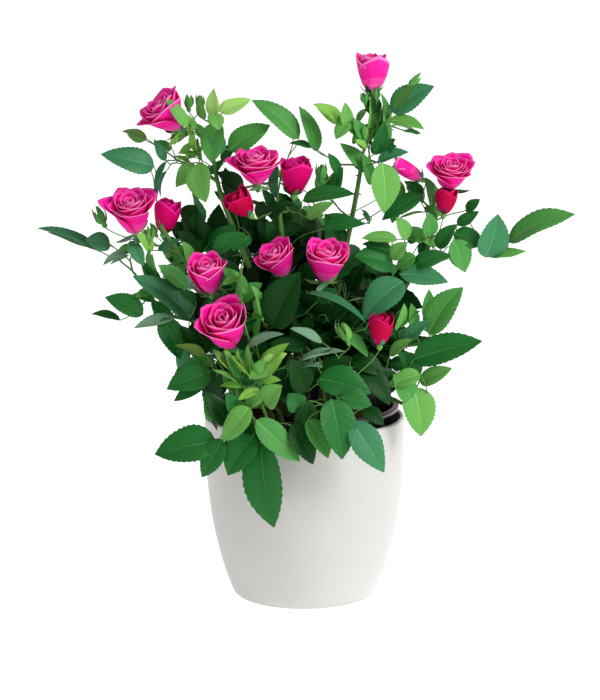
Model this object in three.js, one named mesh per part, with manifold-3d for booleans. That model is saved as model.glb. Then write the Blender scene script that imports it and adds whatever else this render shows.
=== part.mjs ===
// A miniature rose bush in its black grower's pot, which stands in a white cover pot.
// Millimetres, +Z up. The origin is the centre of the cover pot's flat underside.
// +X is the bush's right side and -Y its front, where its lowest leaves hang over the rim.
import * as THREE from "three";
import { mergeVertices } from "three/addons/utils/BufferGeometryUtils.js";
import Module from "manifold-3d";

const wasm = await Module();
wasm.setup();

// ---------------------------------------------------------------- driving dimensions
const GAP = 0.35; // the clearance between two pieces that touch

const POT = {
  height: 119,
  rimRadius: 65,
  footRadius: 46,
  footEdge: 2, // the rounded edge under the foot
  wall: 3,
  floor: 4,
  swell: 2.6, // how quickly the wall stands up above the foot
};

const GROWER = {
  height: 122,
  topRadius: 59,
  bottomRadius: 41,
  wall: 1.3,
  lipReach: 2.4,
  lipDepth: 4,
};

const SOIL_DEPTH_BELOW_LIP = 10;
const ROUND_STEPS = 28; // facets round each turned piece

const CANE = { footRadius: 2.4, tipRadius: 1.3, flare: 1.4, flareLength: 0.06 };
const BOUGH = { footRadius: 1.7, tipRadius: 1.0, flare: 0.5, flareLength: 0.1 };
const LIMB_SIDES = 5;
const LIMB_STEPS = 6;

const SMALL = 1; // subdivisions of a small lobe's icosahedron
const MIDDLING = 2;
const LOBE_UNEVENNESS = 0.16; // how far its skin swells and sinks, as a share of its size

// ---------------------------------------------------------------- levels worked out from them
const growerFoot = POT.floor + GAP;
const growerLip = growerFoot + GROWER.height;
const soilTop = growerLip - SOIL_DEPTH_BELOW_LIP;
const ground = soilTop + GAP; // where the canes are cut flat

// ---------------------------------------------------------------- finishes
const finish = (color, roughness) =>
  new THREE.MeshStandardMaterial({ color, roughness, metalness: 0 });

const FINISHES = {
  pot: finish(0xf0eee9, 0.55),
  grower: finish(0x151516, 0.3),
  soil: finish(0x2b1d14, 0.95),
  cane: finish(0x4f7a38, 0.6),
  leaves: finish(0x2f6b35, 0.6),
  youngLeaves: finish(0x6fa548, 0.6),
};

const bush = new THREE.Group();

function addNode(name, solid, material) {
  const mesh = new THREE.Mesh(geometryOf(solid), material);
  mesh.name = name;
  bush.add(mesh);
}

// ---------------------------------------------------------------- between three.js and manifold
// A closed geometry as a solid: only positions are kept, and its shared vertices are merged.
function solidOf(geometry) {
  const bare = new THREE.BufferGeometry().setAttribute(
    "position",
    (geometry.index ? geometry.toNonIndexed() : geometry).getAttribute("position"),
  );
  const merged = mergeVertices(bare, 1e-3);
  const corners = Array.from(merged.index.array);
  const kept = [];
  for (let i = 0; i < corners.length; i += 3) {
    const [a, b, c] = corners.slice(i, i + 3);
    if (a !== b && b !== c && c !== a) kept.push(a, b, c);
  }
  return new wasm.Manifold(
    new wasm.Mesh({
      numProp: 3,
      vertProperties: merged.attributes.position.array,
      triVerts: new Uint32Array(kept),
    }),
  );
}

function geometryOf(solid) {
  const { numProp, numVert, vertProperties, triVerts } = solid.getMesh();
  const places = new Float32Array(numVert * 3);
  for (let i = 0; i < numVert; i++) {
    places.set(vertProperties.subarray(i * numProp, i * numProp + 3), i * 3);
  }
  return new THREE.BufferGeometry()
    .setAttribute("position", new THREE.BufferAttribute(places, 3))
    .setIndex(new THREE.BufferAttribute(triVerts, 1));
}

// A cut can leave crumbs, so the largest body is kept.
function largestBody(solid) {
  return solid.decompose().reduce((a, b) => (b.volume() > a.volume() ? b : a));
}

const without = (solid, others) => others.reduce((left, other) => left.subtract(other), solid);

// ---------------------------------------------------------------- turned pieces
// profile runs from the axis up the outside and back to the axis, as [radius, height] pairs.
function turned(profile) {
  const points = profile.map(([radius, height]) => new THREE.Vector2(radius, height));
  return solidOf(new THREE.LatheGeometry(points, ROUND_STEPS).rotateX(Math.PI / 2));
}

function potRadius(height) {
  const share = Math.min(Math.max(height / POT.height, 0), 1);
  return POT.footRadius + (POT.rimRadius - POT.footRadius) * (1 - (1 - share) ** POT.swell);
}

// Heights up the pot's wall, closer together near the foot, where it curves most.
function wallHeights(low, high, steps) {
  return Array.from({ length: steps + 1 }, (_, i) => low + (high - low) * (i / steps) ** 1.4);
}

function coverPot() {
  const { height, wall, floor, footEdge } = POT;
  const lip = wall / 2;
  const outside = wallHeights(footEdge, height - lip, 6).map((z) => [potRadius(z), z]);
  const inside = wallHeights(floor, height - lip, 4).map((z) => [potRadius(z) - wall, z]);
  return turned([
    [0, 0],
    [potRadius(0) - footEdge, 0],
    ...outside,
    [potRadius(height) - lip / 2, height],
    [potRadius(height) - wall + lip / 2, height],
    ...inside.reverse(),
    [0, floor],
  ]);
}

const growerRadius = (z) =>
  GROWER.bottomRadius +
  ((GROWER.topRadius - GROWER.bottomRadius) * (z - growerFoot)) / GROWER.height;

function growerPot() {
  const { wall, lipReach, lipDepth } = GROWER;
  const underLip = growerLip - lipDepth;
  return turned([
    [0, growerFoot],
    [growerRadius(growerFoot), growerFoot],
    [growerRadius(underLip), underLip],
    [growerRadius(underLip) + lipReach, underLip + wall],
    [growerRadius(growerLip) + lipReach, growerLip],
    [growerRadius(growerLip) - wall, growerLip],
    [growerRadius(growerFoot) - wall, growerFoot + wall],
    [0, growerFoot + wall],
  ]);
}

function pottingSoil() {
  const clear = GROWER.wall + GAP;
  const bottom = growerFoot + clear;
  return turned([
    [0, bottom],
    [growerRadius(bottom) - clear, bottom],
    [growerRadius(soilTop) - clear, soilTop],
    [0, soilTop],
  ]);
}

// Both pots filled in, grown by the gap: what the leaves have to stay out of.
function potEnvelope() {
  const lip = growerRadius(growerLip) + GROWER.lipReach + GAP;
  const rim = POT.height + GAP;
  const outside = wallHeights(0, POT.height, 6).map((z) => [potRadius(z) + GAP, z]);
  return turned([
    [0, -GAP],
    ...outside,
    [potRadius(rim), rim],
    [lip, rim],
    [lip, growerLip + GAP],
    [0, growerLip + GAP],
  ]);
}

// ---------------------------------------------------------------- limbs
// A tapering limb along a curve, wider at its foot. grow widens it all round by that much.
function limb(curve, form, grow = 0) {
  const shape = new THREE.CylinderGeometry(1, 1, 1, LIMB_SIDES, LIMB_STEPS);
  const frames = curve.computeFrenetFrames(LIMB_STEPS);
  const places = shape.getAttribute("position");
  const v = new THREE.Vector3();
  for (let i = 0; i < places.count; i++) {
    v.fromBufferAttribute(places, i);
    const along = v.y + 0.5;
    const step = Math.round(along * LIMB_STEPS);
    const taper = form.footRadius + (form.tipRadius - form.footRadius) * along;
    const flare = form.flare * Math.exp(-along / form.flareLength);
    const radius = taper + flare + grow;
    const at = curve
      .getPointAt(along)
      .addScaledVector(frames.normals[step], v.x * radius)
      .addScaledVector(frames.binormals[step], v.z * radius)
      .addScaledVector(frames.tangents[step], along > 0.5 ? grow : -grow);
    places.setXYZ(i, at.x, at.y, at.z);
  }
  const solid = solidOf(shape);
  return solid.volume() > 0 ? solid : solidOf(reversed(shape));
}

function reversed(geometry) {
  const turnedRound = geometry.clone();
  const index = turnedRound.index.array;
  for (let i = 0; i < index.length; i += 3) [index[i + 1], index[i + 2]] = [index[i + 2], index[i + 1]];
  return turnedRound;
}

// A cane leaves the soil upright at foot = [x, y] and bends over to its tip, reached along lead.
function caneCurve({ foot, rise, tip, lead }) {
  const start = new THREE.Vector3(foot[0], foot[1], ground);
  const end = new THREE.Vector3(...tip);
  return new THREE.CubicBezierCurve3(
    start,
    start.clone().add(new THREE.Vector3(0, 0, rise)),
    end.clone().sub(new THREE.Vector3(...lead)),
    end,
  );
}

// A bough leaves a cane at a share of its length, and bends over to its tip in the same way.
function boughCurve({ from, share, leave, tip, lead }) {
  const start = caneCurves[from].getPointAt(share);
  const end = new THREE.Vector3(...tip);
  return new THREE.CubicBezierCurve3(
    start,
    start.clone().add(new THREE.Vector3(...leave)),
    end.clone().sub(new THREE.Vector3(...lead)),
    end,
  );
}

const CANES = {
  cane_left: {
    foot: [-22, -6], rise: 60, tip: [-92, -14, 246], lead: [-14, -2, 30],
    ends: "leaves_left",
  },
  cane_top_left: {
    foot: [-12, 6], rise: 70, tip: [-58, 4, 284], lead: [-3, 0, 42],
    ends: "leaves_top_left",
  },
  cane_centre: {
    foot: [-3, -9], rise: 50, tip: [-17, -10, 262], lead: [-4, 0, 40],
    ends: "leaves_crown_top",
  },
  cane_top_right: {
    foot: [12, 4], rise: 60, tip: [37, 0, 288], lead: [5, 0, 46],
    ends: "leaves_top_right",
  },
  cane_right: {
    foot: [23, -6], rise: 50, tip: [84, -8, 250], lead: [4, 0, 44],
    ends: "leaves_right",
  },
  cane_back_left: {
    foot: [-14, 20], rise: 32, tip: [-58, 62, 190], lead: [-12, 10, 24],
    ends: "leaves_back_left",
  },
  cane_back_right: {
    foot: [15, 21], rise: 32, tip: [58, 64, 190], lead: [12, 10, 24],
    ends: "leaves_back_right",
  },
  cane_back: {
    foot: [1, 26], rise: 50, tip: [8, 50, 246], lead: [2, 4, 36],
    ends: "leaves_back_top",
  },
  cane_front_left: {
    foot: [-16, -24], rise: 18, tip: [-40, -68, 138], lead: [-12, -22, 4],
    ends: "leaves_apron_left",
  },
  cane_front_right: {
    foot: [13, -24], rise: 16, tip: [28, -66, 132], lead: [8, -22, 3],
    ends: "leaves_apron_right",
  },
};

const BOUGHS = {
  bough_far_right: {
    from: "cane_right", share: 0.72, leave: [10, 0, 8], tip: [126, -6, 236], lead: [20, 0, 5],
    ends: "leaves_far_right",
  },
  bough_flank_left: {
    from: "cane_left", share: 0.42, leave: [-8, -3, 8], tip: [-90, -22, 190], lead: [-16, -3, 8],
    ends: "leaves_flank_left",
  },
  bough_flank_right: {
    from: "cane_right", share: 0.3, leave: [8, -3, 6], tip: [88, -22, 172], lead: [18, -4, 4],
    ends: "leaves_flank_right",
  },
  bough_side_right: {
    from: "cane_right", share: 0.14, leave: [10, -2, 8], tip: [74, -30, 128], lead: [16, -8, -3],
    ends: "leaves_side_right",
  },
  bough_back_low: {
    from: "cane_back", share: 0.13, leave: [-3, 10, 6], tip: [-8, 80, 132], lead: [-3, 18, -2],
    ends: "leaves_back_low",
  },
};

// ---------------------------------------------------------------- masses of foliage
// A smooth wave over a direction, from -1 to 1, which is different for each seed.
function wave({ x, y, z }, seed) {
  const along = Math.sin(3.4 * x + 1.3 * seed) + Math.sin(4.1 * y + 2.1 * seed);
  const across = Math.sin(4.9 * z + 0.7 * seed) + Math.sin(5.6 * (x + y - z) + seed);
  return (along + across) / 4;
}

// One uneven lobe: an egg of half-sizes size about at, leaning in degrees about X, Y and Z.
function lobe({ at, size, lean = [0, 0, 0], detail = MIDDLING }, seed, grow) {
  const shape = new THREE.IcosahedronGeometry(1, detail);
  const places = shape.getAttribute("position");
  const turn = new THREE.Euler(...lean.map(THREE.MathUtils.degToRad));
  const v = new THREE.Vector3();
  for (let i = 0; i < places.count; i++) {
    v.fromBufferAttribute(places, i).normalize();
    const swell = 1 + LOBE_UNEVENNESS * wave(v, seed);
    v.set(v.x * (size[0] + grow), v.y * (size[1] + grow), v.z * (size[2] + grow));
    v.multiplyScalar(swell).applyEuler(turn).add(new THREE.Vector3(...at));
    places.setXYZ(i, v.x, v.y, v.z);
  }
  return solidOf(shape);
}

function massOf({ lobes, seed }, grow = 0) {
  return lobes
    .map((form, i) => lobe(form, seed + 5 * i, grow))
    .reduce((whole, next) => whole.add(next));
}

// Outer masses keep their whole shape. Each ends a cane or a bough.
const OUTER_MASSES = {
  leaves_top_left: {
    seed: 1, young: true,
    lobes: [
      { at: [-74, 0, 301], size: [36, 27, 34] },
      { at: [-24, 4, 319], size: [33, 11, 12], lean: [0, 12, 0], detail: SMALL },
      { at: [-112, -2, 290], size: [22, 12, 11], lean: [0, 6, 0], detail: SMALL },
    ],
  },
  leaves_left: {
    seed: 2,
    lobes: [
      { at: [-102, -14, 249], size: [34, 27, 28] },
      { at: [-148, -8, 238], size: [30, 10, 8], lean: [0, 10, 0], detail: SMALL },
    ],
  },
  leaves_flank_left: {
    seed: 3,
    lobes: [
      { at: [-86, -26, 183], size: [19, 26, 32] },
      { at: [-117, -20, 195], size: [22, 11, 10], detail: SMALL },
    ],
  },
  leaves_top_right: {
    seed: 4, young: true,
    lobes: [
      { at: [46, 0, 296], size: [34, 26, 32] },
      { at: [44, 0, 335], size: [14, 14, 23], detail: SMALL },
      { at: [22, -2, 321], size: [20, 11, 12], lean: [0, 20, 0], detail: SMALL },
      { at: [68, 0, 325], size: [22, 12, 13], lean: [0, -30, 0], detail: SMALL },
    ],
  },
  leaves_right: { seed: 5, lobes: [{ at: [88, -8, 265], size: [32, 28, 37] }] },
  leaves_far_right: {
    seed: 6,
    lobes: [
      { at: [131, -6, 238], size: [20, 16, 18], detail: SMALL },
      { at: [153, -6, 245], size: [25, 10, 9], lean: [0, -18, 0], detail: SMALL },
    ],
  },
  leaves_flank_right: {
    seed: 7,
    lobes: [
      { at: [86, -24, 174], size: [25, 28, 34] },
      { at: [103, -20, 172], size: [16, 12, 11], detail: SMALL },
    ],
  },
  leaves_crown_top: {
    seed: 8,
    lobes: [{ at: [-20, -14, 274], size: [42, 30, 27] }],
  },
  leaves_back_top: { seed: 9, lobes: [{ at: [6, 54, 242], size: [44, 30, 24] }] },
  leaves_back_left: { seed: 10, lobes: [{ at: [-62, 62, 196], size: [42, 40, 50] }] },
  leaves_back_right: { seed: 11, lobes: [{ at: [62, 62, 196], size: [42, 40, 50] }] },
  leaves_apron_left: {
    seed: 12,
    lobes: [
      { at: [-44, -76, 132], size: [38, 21, 16] },
      { at: [-68, -72, 112], size: [30, 11, 14], lean: [0, -14, 0], detail: SMALL },
      { at: [-27, -83, 97], size: [15, 8, 35], lean: [0, -10, 0], detail: SMALL },
    ],
  },
  leaves_apron_right: {
    seed: 13,
    lobes: [
      { at: [26, -76, 128], size: [32, 18, 17] },
      { at: [34, -80, 110], size: [18, 8, 17], lean: [0, -24, 0], detail: SMALL },
    ],
  },
  leaves_side_right: {
    seed: 14, young: true,
    lobes: [{ at: [77, -30, 126], size: [14, 17, 18], lean: [0, 20, 0] }],
  },
  leaves_back_low: { seed: 15, lobes: [{ at: [-8, 84, 132], size: [46, 21, 17] }] },
};

// The heart of the crown, cut round the canes that run up through it and round the outer masses.
const CORE_MASSES = {
  leaves_core_left: {
    seed: 16,
    lobes: [{ at: [-41, -24, 190], size: [44, 54, 66] }],
  },
  leaves_core_right: {
    seed: 17,
    lobes: [{ at: [38, -24, 188], size: [44, 54, 64] }],
  },
  leaves_core_back: {
    seed: 18,
    lobes: [{ at: [0, 44, 184], size: [56, 42, 56] }],
  },
};

// ---------------------------------------------------------------- assembly
const envelope = potEnvelope();
const caneCurves = Object.fromEntries(
  Object.entries(CANES).map(([name, form]) => [name, caneCurve(form)]),
);

// Each outer mass gives way to the ones before it. placed holds them all, grown by the gap.
const placed = {};
const outerSolids = {};
for (const [name, form] of Object.entries(OUTER_MASSES)) {
  outerSolids[name] = largestBody(without(massOf(form), [envelope, ...Object.values(placed)]));
  placed[name] = massOf(form, GAP);
}

// Limbs stop where they enter their mass, and a bough starts at its cane's skin.
const grownLimbs = [];
const limbSolids = {};
for (const [name, form] of Object.entries(CANES)) {
  const curve = caneCurves[name];
  limbSolids[name] = largestBody(limb(curve, CANE).subtract(placed[form.ends]));
  grownLimbs.push(limb(curve, CANE, GAP));
}
for (const [name, form] of Object.entries(BOUGHS)) {
  const curve = boughCurve(form);
  const parent = limb(caneCurves[form.from], CANE, GAP);
  limbSolids[name] = largestBody(limb(curve, BOUGH).subtract(parent).subtract(placed[form.ends]));
  grownLimbs.push(limb(curve, BOUGH, GAP));
}

addNode("cover_pot", coverPot(), FINISHES.pot);
addNode("grower_pot", growerPot(), FINISHES.grower);
addNode("potting_soil", pottingSoil(), FINISHES.soil);

for (const [name, solid] of Object.entries(limbSolids)) addNode(name, solid, FINISHES.cane);

for (const [name, solid] of Object.entries(outerSolids)) {
  const passing = Object.entries(CANES)
    .concat(Object.entries(BOUGHS))
    .filter(([, form]) => form.ends !== name)
    .map(([limbName]) => grownLimbs[Object.keys(limbSolids).indexOf(limbName)]);
  const material = OUTER_MASSES[name].young ? FINISHES.youngLeaves : FINISHES.leaves;
  addNode(name, largestBody(without(solid, passing)), material);
}

for (const [name, form] of Object.entries(CORE_MASSES)) {
  const around = [envelope, ...Object.values(placed), ...grownLimbs];
  addNode(name, largestBody(without(massOf(form), around)), FINISHES.leaves);
  placed[name] = massOf(form, GAP);
}

export default bush;
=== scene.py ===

# %% [markdown]
# # A miniature rose bush in its pot
# The real thing is a shop-bought pot rose. Ten green canes stand in a black grower's pot, which is dropped
# into a plain ivory cover pot. The canes carry sprays of toothed leaflets and about two dozen pink flowers.
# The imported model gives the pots, the canes and one rough solid for each mass of foliage. This file puts a
# grown plant in place of each of those solids, so everything starts from the frame's own sizes.
# Lengths below are in millimetres, +Z up, -Y to the front, and only the mesh maker turns them into metres.

# %% Load the frame
import math

import bpy
import numpy as np
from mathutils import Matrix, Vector


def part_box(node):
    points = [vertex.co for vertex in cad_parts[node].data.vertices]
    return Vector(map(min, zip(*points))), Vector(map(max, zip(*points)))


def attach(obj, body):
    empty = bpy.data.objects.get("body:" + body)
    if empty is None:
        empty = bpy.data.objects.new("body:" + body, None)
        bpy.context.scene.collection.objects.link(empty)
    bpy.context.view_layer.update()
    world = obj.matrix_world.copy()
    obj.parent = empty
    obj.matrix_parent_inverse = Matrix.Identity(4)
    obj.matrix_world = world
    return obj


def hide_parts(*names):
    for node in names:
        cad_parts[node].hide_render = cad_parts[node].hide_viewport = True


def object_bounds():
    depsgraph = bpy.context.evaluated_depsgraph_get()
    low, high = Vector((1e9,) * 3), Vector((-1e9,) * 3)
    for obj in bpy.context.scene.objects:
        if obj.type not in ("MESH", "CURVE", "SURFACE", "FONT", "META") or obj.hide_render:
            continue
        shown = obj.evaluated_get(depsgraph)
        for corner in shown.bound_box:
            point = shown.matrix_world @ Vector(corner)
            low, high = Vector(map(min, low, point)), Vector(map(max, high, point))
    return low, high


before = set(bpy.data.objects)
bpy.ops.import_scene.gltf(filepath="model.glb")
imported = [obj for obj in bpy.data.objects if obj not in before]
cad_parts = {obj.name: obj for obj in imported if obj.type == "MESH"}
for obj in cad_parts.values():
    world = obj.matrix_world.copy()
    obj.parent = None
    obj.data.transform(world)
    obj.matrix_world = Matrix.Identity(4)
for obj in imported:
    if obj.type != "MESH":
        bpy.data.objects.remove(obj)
cad_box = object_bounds()
MM = 0.001
print("CAD nodes:", len(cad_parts))

# %% [markdown]
# ## The picture's frame
# A camera is a point and three directions. Once they are fixed, any spot on the picture is a straight ray
# into the scene, and a depth along that ray is a place in the world. `seen` does that sum, so a flower can
# be put where it should show and still hang at its own depth in the bush.
# The lens is long, as for a catalogue picture, so near and far leaves keep almost the same scale.

# %% The camera
PICTURE = (600, 700)
SCALE = 1.54  # picture points to the millimetre at the aim
CAMERA_RISE = math.radians(11)
CAMERA_REACH = 1800.0
AIM = np.array([-2.9, 0.0, 161.6])
FOCUS = SCALE * CAMERA_REACH  # the lens's length in picture points
TO_CAMERA = np.array([0.0, -math.cos(CAMERA_RISE), math.sin(CAMERA_RISE)])
PICTURE_UP = np.array([0.0, math.sin(CAMERA_RISE), math.cos(CAMERA_RISE)])
RIGHT = np.array([1.0, 0.0, 0.0])
CAMERA_AT = AIM + CAMERA_REACH * TO_CAMERA
SENSOR = 36.0
FAR_CLIP = 100.0  # metres

lens = bpy.data.cameras.new("camera")
lens.sensor_width = SENSOR
lens.lens = SENSOR * FOCUS / PICTURE[1]
lens.clip_end = FAR_CLIP
camera = bpy.data.objects.new("camera", lens)
camera.location = Vector(CAMERA_AT * MM)
camera.rotation_euler = Vector(-TO_CAMERA).to_track_quat("-Z", "Y").to_euler()
bpy.context.scene.collection.objects.link(camera)
bpy.context.scene.camera = camera


def seen(across, down, depth):
    """The points that show at (across, down) and lie at Y = depth: the camera's place plus the ray's
    direction times the distance at which the ray's Y reaches the depth."""
    sideways = ((across - PICTURE[0] / 2) / FOCUS)[..., None] * RIGHT
    upwards = ((PICTURE[1] / 2 - down) / FOCUS)[..., None] * PICTURE_UP
    ray = sideways + upwards - TO_CAMERA
    return CAMERA_AT + ray * ((depth - CAMERA_AT[1]) / ray[..., 1])[..., None]


def shown_at(points):
    """Where points show in the picture, and how far they are from the camera: the ray's slope times the
    lens's length."""
    offset = points - AIM
    distance = CAMERA_REACH - offset @ TO_CAMERA
    across = PICTURE[0] / 2 + FOCUS * offset[..., 0] / distance
    down = PICTURE[1] / 2 - FOCUS * (offset @ PICTURE_UP) / distance
    return across, down, distance


print("lens", round(lens.lens, 1), "mm")

# %% [markdown]
# ## Directions
# Most places on a plant are a point plus a direction times a length. `offsets` works such steps out for all
# copies of a thing at once, and `two_across` gives the two directions on which anything round is laid out.


# %% Directions and steps along them
ROUND = 6.28  # radians, for turns and phases that are drawn at random


def unit(v):
    return v / np.maximum(np.linalg.norm(v, axis=-1, keepdims=True), 1e-9)


def square_to(direction, v):
    """v without its share along direction, made one long."""
    return unit(v - direction * np.sum(v * direction, -1, keepdims=True))


def two_across(way):
    """Two directions that are square to each way and to each other."""
    upright = np.abs(way[:, 2:]) > 0.9
    first = square_to(way, np.where(upright, [[1.0, 0, 0]], [[0, 0, 1.0]]))
    return first, np.cross(way, first)


def offsets(ways, amounts):
    """Every way (copies, 3) times every amount of its own copy (copies, any more axes)."""
    between = (1,) * (np.ndim(amounts) + 1 - ways.ndim)
    return ways.reshape(*ways.shape[:-1], *between, 3) * amounts[..., None]


print("across the up direction:", *two_across(np.array([[0, 0, 1.0]])))

# %% [markdown]
# ## Surfaces from arrays
# A plant is thousands of small surfaces, far too many to model by hand or to loop over in Python. Each kind
# of surface is therefore worked out for all its copies at once, as arrays with the shape (copies, stations
# along it, points across it, 3). Two helpers give the corner numbers: one for round tubes, such as twigs,
# and one for thin two-sided blades, such as leaflets and petals. A `Heap` gathers the arrays and becomes one
# mesh at the end, which is how a kind of thing is joined into one piece.


# %% Corner numbers of tubes and blades
def wall_corners(stations, ring):
    """Four corners for each patch between neighbouring rings of a closed tube."""
    k, c = np.meshgrid(np.arange(stations - 1), np.arange(ring), indexing="ij")
    here, beside = k * ring + c, k * ring + (c + 1) % ring
    return np.stack([here, beside, beside + ring, here + ring], -1).reshape(-1, 4)


def tube_corners(stations, sides):
    """The wall, and a fan of triangles over each end."""
    fan = np.arange(1, sides - 1)
    foot = np.stack([0 * fan, fan + 1, fan], -1)
    top = (stations - 1) * sides + np.stack([0 * fan, fan, fan + 1], -1)
    return wall_corners(stations, sides), np.concatenate([foot, top])


def blade_corners(stations, columns):
    """A blade's ring runs over its upper side and back under it, so it has 2 * columns - 2 points. Each end
    is closed by patches that join the upper row to the lower one. The patches below start a corner later,
    so that they are split along the same diagonals as those above and never come through them."""
    ring = 2 * columns - 2
    c = np.arange(1, columns - 2)
    under = ring - c
    tip = np.stack([c, c + 1, under - 1, under], -1)
    tip_ends = np.array([[0, 1, ring - 1], [columns - 2, columns - 1, columns]])
    last = (stations - 1) * ring
    wall = wall_corners(stations, ring).reshape(stations - 1, ring, 4)
    wall[:, columns - 1:] = np.roll(wall[:, columns - 1:], -1, 2)
    quads = np.concatenate([wall.reshape(-1, 4), tip + last, tip[:, ::-1]])
    return quads, np.concatenate([tip_ends + last, tip_ends[:, ::-1]])


# %% A heap of surfaces that becomes one mesh
THIN_EDGE = math.radians(100)  # sheets that meet more sharply than this are not shaded as one surface


class Heap:
    """Surfaces that are joined in one piece. Each face has the number of its finish, each point its UV."""

    def __init__(self, finishes):
        self.finishes = finishes
        self.points, self.uvs, self.count = [], [], 0
        self.faces, self.numbers = ([], []), ([], [])  # those with four corners, and those with three

    def add(self, points, uvs, corners, *numbers):
        """points: (copies, points of one copy, 3). corners: those of one copy's quads and triangles.
        numbers: their finishes, each spread over (copies, faces of one copy)."""
        copies, size = points.shape[:2]
        steps = self.count + size * np.arange(copies)[:, None, None]
        for faces, kept, number, finish in zip(corners, self.faces, numbers, self.numbers):
            kept.append((faces + steps).reshape(-1, faces.shape[1]))
            finish.append(np.broadcast_to(number, (copies, len(faces))).ravel())
        self.points.append(points.reshape(-1, 3))
        self.uvs.append(np.broadcast_to(uvs, (copies, size, 2)).reshape(-1, 2))
        self.count += copies * size

    def piece(self, name, replaces=(), smooth=True):
        points, uvs = np.concatenate(self.points) * MM, np.concatenate(self.uvs)
        quads, tris = map(np.concatenate, self.faces)
        corners = np.concatenate([quads.ravel(), tris.ravel()]).astype(np.int32)
        starts = np.concatenate([4 * np.arange(len(quads)), 4 * len(quads) + 3 * np.arange(len(tris))])
        mesh = bpy.data.meshes.new(name)
        mesh.vertices.add(len(points))
        mesh.vertices.foreach_set("co", points.astype(np.float32).ravel())
        mesh.loops.add(len(corners))
        mesh.loops.foreach_set("vertex_index", corners)
        mesh.polygons.add(len(starts))
        mesh.polygons.foreach_set("loop_start", starts.astype(np.int32))
        numbers = np.concatenate(self.numbers[0] + self.numbers[1])
        mesh.polygons.foreach_set("material_index", numbers.astype(np.int32))
        mesh.polygons.foreach_set("use_smooth", np.full(len(starts), smooth))
        mesh.uv_layers.new(name="surface").uv.foreach_set("vector", uvs[corners].astype(np.float32).ravel())
        for finish in self.finishes:
            mesh.materials.append(finish)
        mesh.update(calc_edges=True)
        mesh.validate()
        mesh.set_sharp_from_angle(angle=THIN_EDGE)
        made = bpy.data.objects.new(name, mesh)
        bpy.context.scene.collection.objects.link(made)
        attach(made, "root")
        if replaces:
            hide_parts(*replaces)
        print(f"{name}: {2 * len(quads) + len(tris)} triangles")
        return made


# %% [markdown]
# ## Shader sums
# A finish is a small network of nodes. Wiring each Math node by hand buries the idea, so a wire here knows
# + - and *, and an expression such as `0.4 + 0.2 * speckle` adds its own nodes. Every other node comes
# from `Finish.node`, which takes the node's type, its settings and what goes into its sockets.


# %% The Finish and Wire classes
class Wire:
    """A node's output that can be added, taken away and multiplied."""

    def __init__(self, finish, socket):
        self.finish = finish
        self.socket = socket

    def sum(self, operation, *terms):
        return self.finish.node("ShaderNodeMath", {"operation": operation}, dict(enumerate(terms)))

    def __add__(self, other):
        return self.sum("ADD", self, other)

    def __sub__(self, other):
        return self.sum("SUBTRACT", self, other)

    def __rsub__(self, other):
        return self.sum("SUBTRACT", other, self)

    def __mul__(self, other):
        return self.sum("MULTIPLY", self, other)

    __radd__ = __add__
    __rmul__ = __mul__

    def through(self, operation):
        """The wire after a sum that takes one number, such as SINE."""
        return self.sum(operation, self)

    def beside(self, output):
        """Another output of the same node."""
        return Wire(self.finish, self.socket.node.outputs[output])


class Finish:
    """A material with one Principled shader. plain holds the shader's unwired values."""

    def __init__(self, name, plain):
        self.material = bpy.data.materials.new(name)
        self.material.use_nodes = True
        self.tree = self.material.node_tree
        self.shader = self.tree.nodes["Principled BSDF"]
        for socket, value in plain.items():
            self.wire(socket, value)

    def feed(self, socket, value):
        if isinstance(value, Wire):
            self.tree.links.new(value.socket, socket)
        else:
            socket.default_value = value

    def node(self, kind, settings=None, sockets=None, output=0):
        made = self.tree.nodes.new(kind)
        for setting, value in (settings or {}).items():
            if setting == "stops":
                for stop, (place, colour) in zip(made.color_ramp.elements, value):
                    stop.position = place
                    stop.color = colour
            else:
                setattr(made, setting, value)
        for socket, value in (sockets or {}).items():
            self.feed(made.inputs[socket], value)
        return Wire(self, made.outputs[output])

    def place(self, kind="Object"):
        """Where a point is on the object, in metres, or with "UV" where it is across and along a blade."""
        return self.node("ShaderNodeTexCoord", output=kind)

    def noise(self, scale, detail=3.0, roughness=0.55, place=None):
        sockets = {"Vector": place or self.place(), "Scale": scale, "Detail": detail, "Roughness": roughness}
        return self.node("ShaderNodeTexNoise", None, sockets)

    def ramp(self, value, dark, light, low=0.3, high=0.7):
        return self.node("ShaderNodeValToRGB", {"stops": [(low, dark), (high, light)]}, {0: value})

    def bump(self, height, distance):
        self.wire("Normal", self.node("ShaderNodeBump", None, {"Height": height, "Distance": distance}))

    def wire(self, socket, value):
        self.feed(self.shader.inputs[socket], value)


def paint(red, green, blue):
    """A colour given in screen steps of 0 to 255, as the linear light that Blender reckons in."""
    share = np.array([red, green, blue]) / 255
    linear = np.where(share <= 0.04045, share / 12.92, ((share + 0.055) / 1.055) ** 2.4)
    return (*map(float, linear), 1.0)


print("paint white:", paint(255, 255, 255))
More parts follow.
